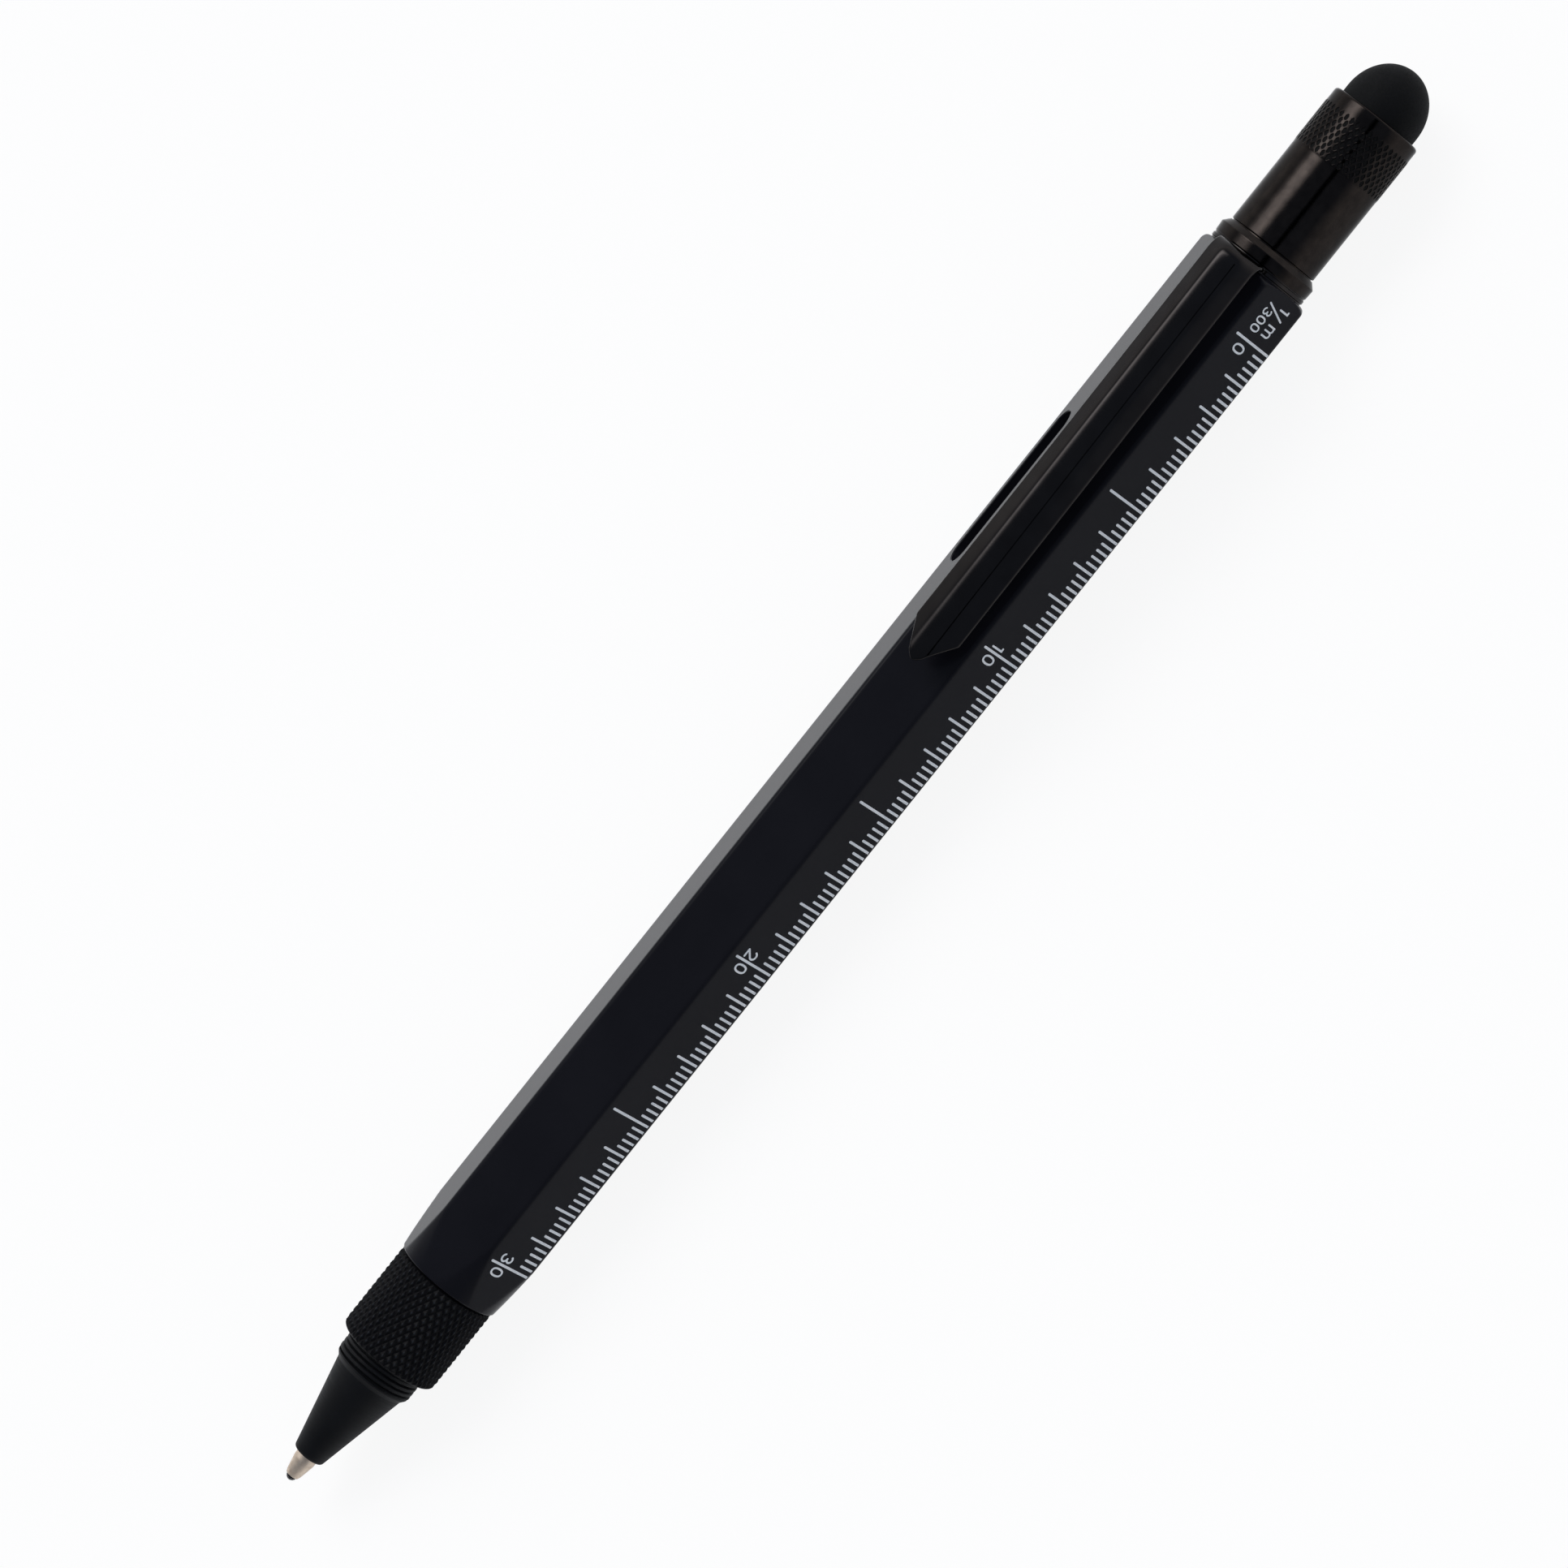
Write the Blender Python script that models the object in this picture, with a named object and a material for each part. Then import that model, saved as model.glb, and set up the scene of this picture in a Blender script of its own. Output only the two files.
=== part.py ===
"""Multi tool pen with a hexagonal barrel, lying on one flat of the barrel with its clip up.

Units are metres, written as a number of millimetres times MM. The pen's axis runs along X, from
the writing tip at -X to the rubber stylus dome at +X, and the origin is under the middle of its
length, on the surface that the lowest flat rests on.
"""

import math

import bmesh
import bpy

MM = 0.001
DEGREE = math.pi / 180
FULL_TURN = 2 * math.pi

# Clearances, overrun of cuts and numbers of sides
SEAT_GAP = 0.10 * MM
RUNNING_GAP = 0.10 * MM
BIT_GAP = 0.05 * MM
BALL_GAP = 0.04 * MM
OVERRUN = 1.0 * MM
MERGE = 0.00001 * MM
ROUND_SIDES = 36
HIDDEN_SIDES = 24
SMALL_SIDES = 16
ARC_STEPS = 3
SMOOTH_ANGLE = 35 * DEGREE

# Hexagonal barrel
ACROSS_FLATS = 9.674 * MM
CORNER_ROUND = 0.66 * MM
BARREL_LENGTH = 109.64 * MM
BARREL_BORE_R = 3.30 * MM
BARREL_MOUTH_R = 4.88 * MM
BARREL_TAPER = 6.7 * DEGREE
BARREL_END_ROUND = 0.90 * MM
WINDOW_LENGTH = 15.95 * MM
WINDOW_WIDTH = 2.90 * MM
WINDOW_OFFSET = 0.45 * MM
WINDOW_TO_END = 18.70 * MM

# Writing point and refill
TIP_REACH = 2.51 * MM
REFILL_R = 1.175 * MM
REFILL_WALL = 0.275 * MM
BALL_R = 0.50 * MM
BALL_SHOWS = 0.42 * MM
POINT_LIP_R = 0.60 * MM
POINT_LIP_LENGTH = 0.24 * MM
POINT_NECK_R = 0.70 * MM
POINT_CONE_LENGTH = 1.50 * MM
POINT_SHANK_R = 1.00 * MM
POINT_SHANK_LENGTH = 3.20 * MM
POINT_COLLAR_LENGTH = 0.40 * MM
POINT_TAIL_LENGTH = 2.00 * MM
INK_CHANNEL_R = 0.25 * MM
INK_AIR = 13.54 * MM

# Nose cone and the threaded bush behind it
CONE_LENGTH = 9.50 * MM
CONE_TIP_R = 1.40 * MM
CONE_TAPER_LENGTH = 8.90 * MM
CONE_TAPER_R = 3.36 * MM
CONE_RIM_R = 3.76 * MM
CONE_ROUND = 0.35 * MM
NOSE_HOLE_R = 1.08 * MM
NOSE_LAND = 1.40 * MM
NOSE_BORE_R = 1.50 * MM
BUSH_SPIGOT_R = 2.20 * MM
BUSH_SPIGOT_LENGTH = 2.30 * MM
THREAD_R = 3.76 * MM
THREAD_SHOWS = 1.85 * MM
THREAD_ENGAGED = 5.30 * MM
THREAD_CHAMFER = 0.25 * MM

# Knurled grip
GRIP_LENGTH = 8.50 * MM
GRIP_R = 4.78 * MM
GRIP_FRONT_R = 3.95 * MM
GRIP_FRONT_ROUND = 0.90 * MM
GRIP_HUB_LENGTH = 3.00 * MM
GRIP_EDGE = 0.12 * MM
GRIP_KNURL_COUNT = 46
GRIP_KNURL_LENGTH = 1.27 * MM
GRIP_KNURL_DEPTH = 0.28 * MM

# Twist mechanism
TRAVEL = 5.50 * MM
TWIST = 180 * DEGREE
CAM_R = 2.70 * MM
CAM_WALL = 0.35 * MM
CAM_GUIDE_R = 1.60 * MM
CAM_STEP_ROOM = 1.44 * MM
CAM_END_ROOM = 4.50 * MM
SLOT_WIDTH = 1.20 * MM
SLOT_STATIONS = 16
SLOT_NOSE = 0.0004 * MM
PIN_R = 0.50 * MM
PIN_START_R = 1.10 * MM
PIN_END_R = 3.10 * MM
HOLDER_R = 2.25 * MM
HOLDER_SOCKET = 8.20 * MM
HOLDER_LENGTH = 12.0 * MM
PIN_TO_SOCKET = 2.00 * MM
GUIDE_WALL = 0.40 * MM
GUIDE_ROOM = 6.50 * MM
GUIDE_TO_VIAL = 14.325 * MM
BUSH_R = 3.90 * MM
BUSH_LENGTH = 7.40 * MM
RING_WIDTH = 0.80 * MM
RING_R = 3.15 * MM
RING_GROOVE_R = 2.40 * MM
RING_OPENING = 60 * DEGREE

# Spirit level
VIAL_LENGTH = 20.0 * MM
VIAL_R = 3.15 * MM
VIAL_BORE_R = 1.90 * MM
VIAL_PLUG_LENGTH = 1.40 * MM
VIAL_TO_STEM = 1.235 * MM
BUBBLE_LENGTH = 5.0 * MM
BUBBLE_DEPTH = 1.1 * MM
BUBBLE_WIDTH = 2.4 * MM

# Clip
CLIP_SHEET = 0.40 * MM
CLIP_RING_R = 4.77 * MM
CLIP_PLATE_HALF = 0.90 * MM
CLIP_LENGTH = 43.19 * MM
CLIP_TIP_HALF = 0.46 * MM
CLIP_TIP_LENGTH = 0.75 * MM
CLIP_POINT_LENGTH = 3.25 * MM
CLIP_TIP_EDGE_HALF = 2.47 * MM
CLIP_ROOT_EDGE_HALF = 2.37 * MM
CLIP_WALL_HALF = 2.54 * MM
CLIP_TIP_CREST = 7.93 * MM
CLIP_ROOT_CREST = 8.97 * MM
CLIP_TIP_EDGE = 7.13 * MM
CLIP_ROOT_EDGE = 7.84 * MM
CLIP_BEND_R = 1.40 * MM
CLIP_FOLD = 36 * DEGREE
CLIP_HINGE_Z = 4.95 * MM
CLIP_STATIONS = 8
CLIP_BEND_STEPS = 5

# Rear bush with its flange, and the magnet in it
FLANGE_LENGTH = 1.56 * MM
FLANGE_R = 4.81 * MM
FLANGE_FLAT = 1.01 * MM
FLANGE_SMALL_R = 4.30 * MM
SPIGOT_R = 3.10 * MM
SPIGOT_LENGTH = 3.00 * MM
BIT_FLATS = 4.00 * MM
MAGNET_R = 2.00 * MM
MAGNET_LENGTH = 2.00 * MM
MAGNET_RECESS = 0.50 * MM

# Driver bit
BIT_ROOM = 2.0 * MM
BIT_NECK_LENGTH = 6.50 * MM
BIT_NECK_R = 1.50 * MM
BIT_SHOULDER = 0.60 * MM
BLADE_THICKNESS = 0.60 * MM
BLADE_LENGTH = 5.50 * MM
CROSS_LENGTH = 2.60 * MM
CROSS_POINT_R = 0.50 * MM
FLUTE_OFFSET = 0.25 * MM

# Stylus cap
SLEEVE_LENGTH = 13.80 * MM
SLEEVE_R = 4.285 * MM
SLEEVE_BORE_R = 3.80 * MM
SLEEVE_FRONT_EDGE = 0.08 * MM
SLEEVE_END_ROUND = 0.30 * MM
BAND_START = 8.15 * MM
BAND_KNURL_COUNT = 44
BAND_KNURL_LENGTH = 1.008 * MM
BAND_ROWS = 9
BAND_RISE = 0.03 * MM
BAND_DEPTH = 0.20 * MM
CAP_BUSH_WALL = 0.50 * MM
PLUG_RIM_LENGTH = 1.00 * MM
PLUG_RIM_TO_END = 1.80 * MM
PLUG_PEG_LENGTH = 2.20 * MM
DOME_REACH = 4.88 * MM
DOME_R = 3.65 * MM
DOME_HALF_LENGTH = 4.20 * MM
DOME_WALL = 0.85 * MM
DOME_STEPS = 5

# Stations along the pen, from the writing tip at the left to the dome at the right
OVERALL = (TIP_REACH + CONE_LENGTH + THREAD_SHOWS + GRIP_LENGTH + SEAT_GAP + BARREL_LENGTH
           + SEAT_GAP + CLIP_SHEET + SEAT_GAP + FLANGE_LENGTH + SEAT_GAP + SLEEVE_LENGTH
           + DOME_REACH)
AXIS_Z = ACROSS_FLATS / 2
X_TIP = -OVERALL / 2
X_CONE = X_TIP + TIP_REACH
X_THREAD = X_CONE + CONE_LENGTH
X_GRIP = X_THREAD + THREAD_SHOWS
X_BARREL = X_GRIP + GRIP_LENGTH + SEAT_GAP
X_BARREL_END = X_BARREL + BARREL_LENGTH
X_CLIP = X_BARREL_END + SEAT_GAP
X_FLANGE = X_CLIP + CLIP_SHEET + SEAT_GAP
X_SLEEVE = X_FLANGE + FLANGE_LENGTH + SEAT_GAP
X_SLEEVE_END = X_SLEEVE + SLEEVE_LENGTH

X_WINDOW = X_BARREL_END - WINDOW_TO_END - WINDOW_LENGTH / 2
X_VIAL = X_WINDOW - VIAL_LENGTH / 2
X_STEM = X_VIAL + VIAL_LENGTH + VIAL_TO_STEM
STEM_LENGTH = X_FLANGE - X_STEM
X_MAGNET = X_STEM + MAGNET_RECESS
X_BIT = X_MAGNET + MAGNET_LENGTH + 2 * SEAT_GAP
X_PLUG = X_SLEEVE_END - PLUG_RIM_TO_END - PLUG_RIM_LENGTH
BIT_LENGTH = X_PLUG - BIT_ROOM - X_BIT
X_DOME = X_PLUG + PLUG_RIM_LENGTH + SEAT_GAP

X_GUIDE_END = X_VIAL - GUIDE_TO_VIAL
X_PIN = X_GUIDE_END - GUIDE_ROOM - TRAVEL
X_GUIDE = X_PIN - GUIDE_ROOM
X_REFILL_END = X_PIN - PIN_TO_SOCKET - SEAT_GAP
X_REFILL_TUBE = X_TIP + BALL_SHOWS + POINT_LIP_LENGTH + POINT_CONE_LENGTH + POINT_SHANK_LENGTH
X_INK = X_REFILL_TUBE + POINT_TAIL_LENGTH + SEAT_GAP
X_HOLDER = X_REFILL_END + SEAT_GAP - HOLDER_SOCKET
X_HUB = X_BARREL - SEAT_GAP - GRIP_HUB_LENGTH
X_CAM = X_HUB + SEAT_GAP
X_CAM_STEP = X_HOLDER - CAM_STEP_ROOM
X_CAM_END = X_PIN + TRAVEL + CAM_END_ROOM
X_FRONT_BUSH = X_BARREL + SEAT_GAP
X_RING = X_FRONT_BUSH + BUSH_LENGTH + SEAT_GAP


def clear_scene():
    """Remove whatever the opened file holds."""
    for item in list(bpy.data.objects):
        bpy.data.objects.remove(item, do_unlink=True)


def make_material(name, colour, roughness, metallic):
    """One Principled material."""
    material = bpy.data.materials.new(name)
    material.use_nodes = True
    shader = material.node_tree.nodes["Principled BSDF"]
    shader.inputs["Base Color"].default_value = (*colour, 1.0)
    shader.inputs["Roughness"].default_value = roughness
    shader.inputs["Metallic"].default_value = metallic
    material.diffuse_color = (*colour, 1.0)
    return material


def make_frame(name, x, z=AXIS_Z):
    """An empty on a joint axis, which carries the pieces of one moving body."""
    frame = bpy.data.objects.new(name, None)
    frame.empty_display_size = ACROSS_FLATS
    frame.location = (x, 0, z)
    bpy.context.collection.objects.link(frame)
    return frame


def place(name, mesh, frame, x, z=AXIS_Z):
    """Link a mesh as an object under a body's frame, with its origin at x on the pen's axis."""
    item = bpy.data.objects.new(name, mesh)
    bpy.context.collection.objects.link(item)
    item.parent = frame
    item.location = (x - frame.location.x, 0, z - frame.location.z)
    return item


def finish_mesh(bm, name):
    """Turn a bmesh into a mesh with outward faces and smooth round sides."""
    bmesh.ops.remove_doubles(bm, verts=bm.verts, dist=MERGE)
    bmesh.ops.recalc_face_normals(bm, faces=bm.faces)
    mesh = bpy.data.meshes.new(name)
    bm.to_mesh(mesh)
    bm.free()
    mesh.shade_smooth()
    mesh.set_sharp_from_angle(angle=SMOOTH_ANGLE)
    return mesh


def make_piece(name, bm, frame, x, material, z=AXIS_Z):
    """A named sub-part with its own material."""
    item = place(name, finish_mesh(bm, name), frame, x, z)
    item.data.materials.append(make_material(name, *material))
    return item


def boolean(item, bm, name, operation):
    """Cut, keep or join with a hidden tool that shares the item's frame and origin."""
    tool = bpy.data.objects.new(name, finish_mesh(bm, name))
    bpy.context.collection.objects.link(tool)
    tool.parent = item.parent
    tool.location = item.location
    tool.hide_render = True
    tool.display_type = 'WIRE'
    modifier = item.modifiers.new(name, 'BOOLEAN')
    modifier.operation = operation
    modifier.object = tool
    modifier.solver = 'EXACT'


def rounded(points, radii, steps=ARC_STEPS):
    """Replace chosen corners of a closed outline with arcs; radii maps a corner's index to a radius."""
    outline = []
    for index, corner in enumerate(points):
        radius = radii.get(index, 0)
        if not radius:
            outline.append(corner)
            continue
        before, after = points[index - 1], points[(index + 1) % len(points)]
        to_before = math.atan2(before[1] - corner[1], before[0] - corner[0])
        to_after = math.atan2(after[1] - corner[1], after[0] - corner[0])
        opening = math.remainder(to_after - to_before, FULL_TURN)
        reach = radius / math.tan(abs(opening) / 2)
        middle = to_before + opening / 2
        distance = math.hypot(radius, reach)
        centre = (corner[0] + distance * math.cos(middle), corner[1] + distance * math.sin(middle))
        start = middle + math.pi - math.copysign(math.pi - abs(opening), -opening) / 2
        sweep = math.copysign(math.pi - abs(opening), -opening)
        for step in range(steps + 1):
            angle = start + sweep * step / steps
            outline.append((centre[0] + radius * math.cos(angle), centre[1] + radius * math.sin(angle)))
    return outline


def turned(profile, sides=ROUND_SIDES, angle=FULL_TURN):
    """Spin a closed outline of (x, radius) points about the pen's axis."""
    bm = bmesh.new()
    verts = [bm.verts.new((x, 0, radius)) for x, radius in profile]
    edges = [bm.edges.new((verts[index - 1], verts[index])) for index in range(len(verts))
             if max(profile[index - 1][1], profile[index][1]) > MERGE]
    whole = angle == FULL_TURN
    if not whole:
        edges = [bm.faces.new(verts)]
    bmesh.ops.spin(bm, geom=verts + edges, cent=(0, 0, 0), axis=(1, 0, 0), angle=angle,
                   steps=sides, use_merge=whole)
    bmesh.ops.remove_doubles(bm, verts=bm.verts, dist=MERGE)
    return bm


def prism(outline, x0, x1):
    """Extrude a closed outline of (y, z) points along X."""
    bm = bmesh.new()
    base = bm.faces.new([bm.verts.new((x0, y, z)) for y, z in outline])
    extruded = bmesh.ops.extrude_face_region(bm, geom=[base])["geom"]
    moved = [part for part in extruded if isinstance(part, bmesh.types.BMVert)]
    bmesh.ops.translate(bm, verts=moved, vec=(x1 - x0, 0, 0))
    return bm


def slab(outline, z0, z1):
    """Extrude a closed outline of (x, y) points along Z."""
    bm = bmesh.new()
    base = bm.faces.new([bm.verts.new((x, y, z0)) for x, y in outline])
    extruded = bmesh.ops.extrude_face_region(bm, geom=[base])["geom"]
    moved = [part for part in extruded if isinstance(part, bmesh.types.BMVert)]
    bmesh.ops.translate(bm, verts=moved, vec=(0, 0, z1 - z0))
    return bm


def hexagon(across_flats):
    """Corners of a hexagon with flats at the top and bottom."""
    radius = across_flats / math.sqrt(3)
    return [(radius * math.cos(FULL_TURN * k / 6), radius * math.sin(FULL_TURN * k / 6))
            for k in range(6)]


def turn_about_axis(bm, angle):
    """Turn a bmesh about the pen's axis."""
    for vert in bm.verts:
        y, z = vert.co.y, vert.co.z
        vert.co.y = y * math.cos(angle) - z * math.sin(angle)
        vert.co.z = y * math.sin(angle) + z * math.cos(angle)


def add_ring(bm, x, radius, count, relief=0, offset=0):
    """A ring of vertices; every second one is lowered by relief."""
    ring = []
    for k in range(count):
        height = radius - relief * ((k + offset) % 2)
        angle = FULL_TURN * k / count
        ring.append(bm.verts.new((x, height * math.sin(angle), height * math.cos(angle))))
    return ring


def join_rings(bm, first, second):
    """Join two rings of equal count, or one of twice the other's count."""
    if len(first) < len(second):
        first, second = second, first
    share = len(first) // len(second)
    for k in range(len(second)):
        here = [first[(share * k + step) % len(first)] for step in range(share + 1)]
        bm.faces.new(here + [second[(k + 1) % len(second)], second[k]])


def join_knurl_rows(bm, first, second, raised):
    """Join two knurl rows in triangles that fold along the ridges of each diamond."""
    count = len(first)
    for k in range(count):
        after = (k + 1) % count
        if raised[k]:
            bm.faces.new((first[k], first[after], second[k]))
            bm.faces.new((first[after], second[after], second[k]))
        else:
            bm.faces.new((first[k], second[after], second[k]))
            bm.faces.new((first[k], first[after], second[after]))


def add_knurl(bm, x0, row_pitch, rows, crest, depth, count, points):
    """A diamond knurl between two plain edge rings: raised points, or pits in a net of ridges.

    Row r and column c of the lattice stand at crest or at crest - depth by turns, and the first
    and last rows are level: low for raised points, high for pits.
    """
    edge_radius = crest - depth if points else crest
    previous = add_ring(bm, x0, edge_radius, 2 * count)
    first = previous
    for row in range(1, rows + 1):
        x = x0 + row * row_pitch
        if row == rows:
            ring = add_ring(bm, x, edge_radius, 2 * count)
        else:
            ring = add_ring(bm, x, crest, 2 * count, depth, row % 2)
        folds = [(column + row - 1) % 2 == (0 if points else 1) for column in range(2 * count)]
        join_knurl_rows(bm, previous, ring, folds)
        previous = ring
    return first, previous


def slot_tool(x0, x1, angle0, angle1, width, radius, inner, outer):
    """A slot's cutter: a strip with round ends, laid along a helix and as deep as a tube's wall.

    On the tube unrolled at the given radius the slot's middle is a straight line, so each
    station is a point on it with half a width to each side, square to the line.
    """
    along, around = x1 - x0, (angle1 - angle0) * radius
    length = math.hypot(along, around)
    half = width / 2
    direction = (along / length, around / length)
    distances = [-half * math.cos(math.pi / 2 * k / ARC_STEPS) for k in range(ARC_STEPS)]
    distances += [length * k / SLOT_STATIONS for k in range(SLOT_STATIONS + 1)]
    distances += [length + half * math.sin(math.pi / 2 * (k + 1) / ARC_STEPS)
                  for k in range(ARC_STEPS)]
    bm = bmesh.new()
    rows = []
    for distance in distances:
        past = max(-distance, distance - length, 0)
        side = max(math.sqrt(max(half ** 2 - past ** 2, 0)), SLOT_NOSE)
        row = []
        for sign in (-1, 1):
            x = x0 + direction[0] * distance - sign * side * direction[1]
            angle = angle0 + (direction[1] * distance + sign * side * direction[0]) / radius
            for depth in (inner, outer):
                row.append(bm.verts.new((x, depth * math.cos(angle), depth * math.sin(angle))))
        rows.append(row)
    for before, after in zip(rows, rows[1:]):
        for i, j in ((0, 1), (1, 3), (3, 2), (2, 0)):
            bm.faces.new((before[i], before[j], after[j], after[i]))
    for row in (rows[0], rows[-1]):
        bm.faces.new((row[0], row[1], row[3], row[2]))
    return bm


def ring_profile(length, inner, outer):
    """The outline of a plain tube."""
    return [(0, inner), (0, outer), (length, outer), (length, inner)]


def make_barrel(frame):
    """Hexagonal tube: a prism with rounded corners inside a turned envelope, bored and windowed."""
    corner_r = (AXIS_Z - CORNER_ROUND) / math.cos(math.pi / 6) + CORNER_ROUND
    flats = hexagon(ACROSS_FLATS)
    outline = rounded(flats, {k: CORNER_ROUND for k in range(len(flats))})
    barrel = make_piece("barrel", prism(outline, -OVERRUN, BARREL_LENGTH + OVERRUN), frame, X_BARREL,
                        ((0.016, 0.016, 0.019), 0.55, 0.3))
    clear_r = corner_r + OVERRUN
    taper_length = (clear_r - BARREL_MOUTH_R) / math.tan(BARREL_TAPER)
    end_r, end_round = corner_r + SEAT_GAP, BARREL_END_ROUND + SEAT_GAP
    end_corner = (BARREL_LENGTH, end_r)
    envelope = [(0, 0), (0, BARREL_MOUTH_R), (taper_length, clear_r),
                (BARREL_LENGTH - end_round, clear_r), (BARREL_LENGTH - end_round, end_r),
                end_corner, (BARREL_LENGTH, 0)]
    envelope = rounded(envelope, {envelope.index(end_corner): end_round}, 2 * ARC_STEPS)
    boolean(barrel, turned(envelope, 2 * ROUND_SIDES), "barrel_envelope", 'INTERSECT')
    seat_r = BUSH_R + SEAT_GAP
    seat_end = BUSH_LENGTH + 2 * SEAT_GAP
    bore = [(-OVERRUN, 0), (-OVERRUN, seat_r), (seat_end, seat_r), (seat_end, BARREL_BORE_R),
            (BARREL_LENGTH + OVERRUN, BARREL_BORE_R), (BARREL_LENGTH + OVERRUN, 0)]
    boolean(barrel, turned(bore, HIDDEN_SIDES), "barrel_bore", 'DIFFERENCE')
    half, middle = (WINDOW_LENGTH - WINDOW_WIDTH) / 2, X_WINDOW - X_BARREL
    window = []
    for k in range(2 * (2 * ARC_STEPS + 1)):
        end = 1 if k <= 2 * ARC_STEPS else -1
        angle = -math.pi / 2 + math.pi * (k - (end < 0)) / (2 * ARC_STEPS)
        window.append((middle + end * half + WINDOW_WIDTH / 2 * math.cos(angle),
                       WINDOW_OFFSET + WINDOW_WIDTH / 2 * math.sin(angle)))
    cutter = slab(window, BARREL_BORE_R - OVERRUN, AXIS_Z + OVERRUN)
    turn_about_axis(cutter, -math.pi / 3)
    boolean(barrel, cutter, "barrel_window", 'DIFFERENCE')


def make_front_bush(frame):
    """Bearing bush pressed into the barrel's mouth."""
    profile = ring_profile(BUSH_LENGTH, CAM_R + RUNNING_GAP, BUSH_R)
    make_piece("front_bush", turned(profile, HIDDEN_SIDES), frame, X_FRONT_BUSH,
               ((0.50, 0.33, 0.10), 0.35, 1.0))


def make_guide_tube(frame):
    """Fixed tube with a straight slot that keeps the follower pin from turning."""
    inner = CAM_R + RUNNING_GAP
    outer = inner + GUIDE_WALL
    profile = ring_profile(X_GUIDE_END - X_GUIDE, inner, outer)
    guide = make_piece("guide_tube", turned(profile, HIDDEN_SIDES), frame, X_GUIDE,
                       ((0.50, 0.33, 0.10), 0.35, 1.0))
    start = X_PIN - X_GUIDE
    slot = slot_tool(start, start + TRAVEL, math.pi / 2, math.pi / 2, SLOT_WIDTH, inner,
                     inner - GUIDE_WALL, outer + GUIDE_WALL)
    boolean(guide, slot, "guide_slot", 'DIFFERENCE')


def make_level(frame):
    """Clear vial, its two plugs, and the liquid with a bubble at its top."""
    make_piece("level_vial", turned(ring_profile(VIAL_LENGTH, VIAL_BORE_R, VIAL_R), SMALL_SIDES), frame,
               X_VIAL, ((0.80, 0.90, 0.85), 0.05, 0.0))
    inside_r = VIAL_BORE_R - RUNNING_GAP
    plug = [(0, 0), (0, inside_r), (VIAL_PLUG_LENGTH, inside_r), (VIAL_PLUG_LENGTH, 0)]
    rear_plug = X_VIAL + VIAL_LENGTH - VIAL_PLUG_LENGTH
    for name, x in (("vial_plug_front", X_VIAL), ("vial_plug_rear", rear_plug)):
        make_piece(name, turned(plug, SMALL_SIDES), frame, x, ((0.02, 0.02, 0.02), 0.5, 0.0))
    start = VIAL_PLUG_LENGTH + SEAT_GAP
    length = VIAL_LENGTH - 2 * start
    column = [(0, 0), (0, inside_r), (length, inside_r), (length, 0)]
    liquid = make_piece("level_liquid", turned(column, SMALL_SIDES), frame, X_VIAL + start,
                        ((0.45, 0.75, 0.05), 0.05, 0.0))
    bubble = bmesh.new()
    bmesh.ops.create_uvsphere(bubble, u_segments=SMALL_SIDES // 2, v_segments=SMALL_SIDES // 3, radius=1)
    bmesh.ops.scale(bubble, vec=(BUBBLE_LENGTH / 2, BUBBLE_WIDTH / 2, BUBBLE_DEPTH), verts=bubble.verts)
    bmesh.ops.translate(bubble, vec=(length / 2, 0, inside_r), verts=bubble.verts)
    boolean(liquid, bubble, "level_bubble", 'DIFFERENCE')


def make_rear_bush(frame):
    """Stem in the barrel, flange that clamps the clip, cap spigot and hexagonal bit socket."""
    stem_r = BARREL_BORE_R - SEAT_GAP
    flange, length = STEM_LENGTH, STEM_LENGTH + FLANGE_LENGTH + SPIGOT_LENGTH
    pocket = MAGNET_RECESS + MAGNET_LENGTH + SEAT_GAP
    pocket_r = MAGNET_R + SEAT_GAP
    edge = SEAT_GAP
    profile = [(0, pocket_r), (0, stem_r), (flange, stem_r), (flange, FLANGE_R - edge),
               (flange + edge, FLANGE_R), (flange + FLANGE_FLAT, FLANGE_R),
               (flange + FLANGE_LENGTH, FLANGE_SMALL_R), (flange + FLANGE_LENGTH, SPIGOT_R),
               (length - THREAD_CHAMFER, SPIGOT_R), (length, SPIGOT_R - THREAD_CHAMFER), (length, 0),
               (pocket, 0), (pocket, pocket_r)]
    bush = make_piece("rear_bush", turned(profile), frame, X_STEM, ((0.03, 0.025, 0.024), 0.25, 0.9))
    socket = prism(hexagon(BIT_FLATS + 2 * BIT_GAP), pocket - SEAT_GAP, length + OVERRUN)
    boolean(bush, socket, "bit_socket", 'DIFFERENCE')


def make_bit_magnet(frame):
    """Disc magnet at the bottom of the bit socket."""
    profile = [(0, 0), (0, MAGNET_R), (MAGNET_LENGTH, MAGNET_R), (MAGNET_LENGTH, 0)]
    make_piece("bit_magnet", turned(profile, SMALL_SIDES), frame, X_MAGNET, ((0.55, 0.55, 0.56), 0.3, 1.0))


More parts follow.
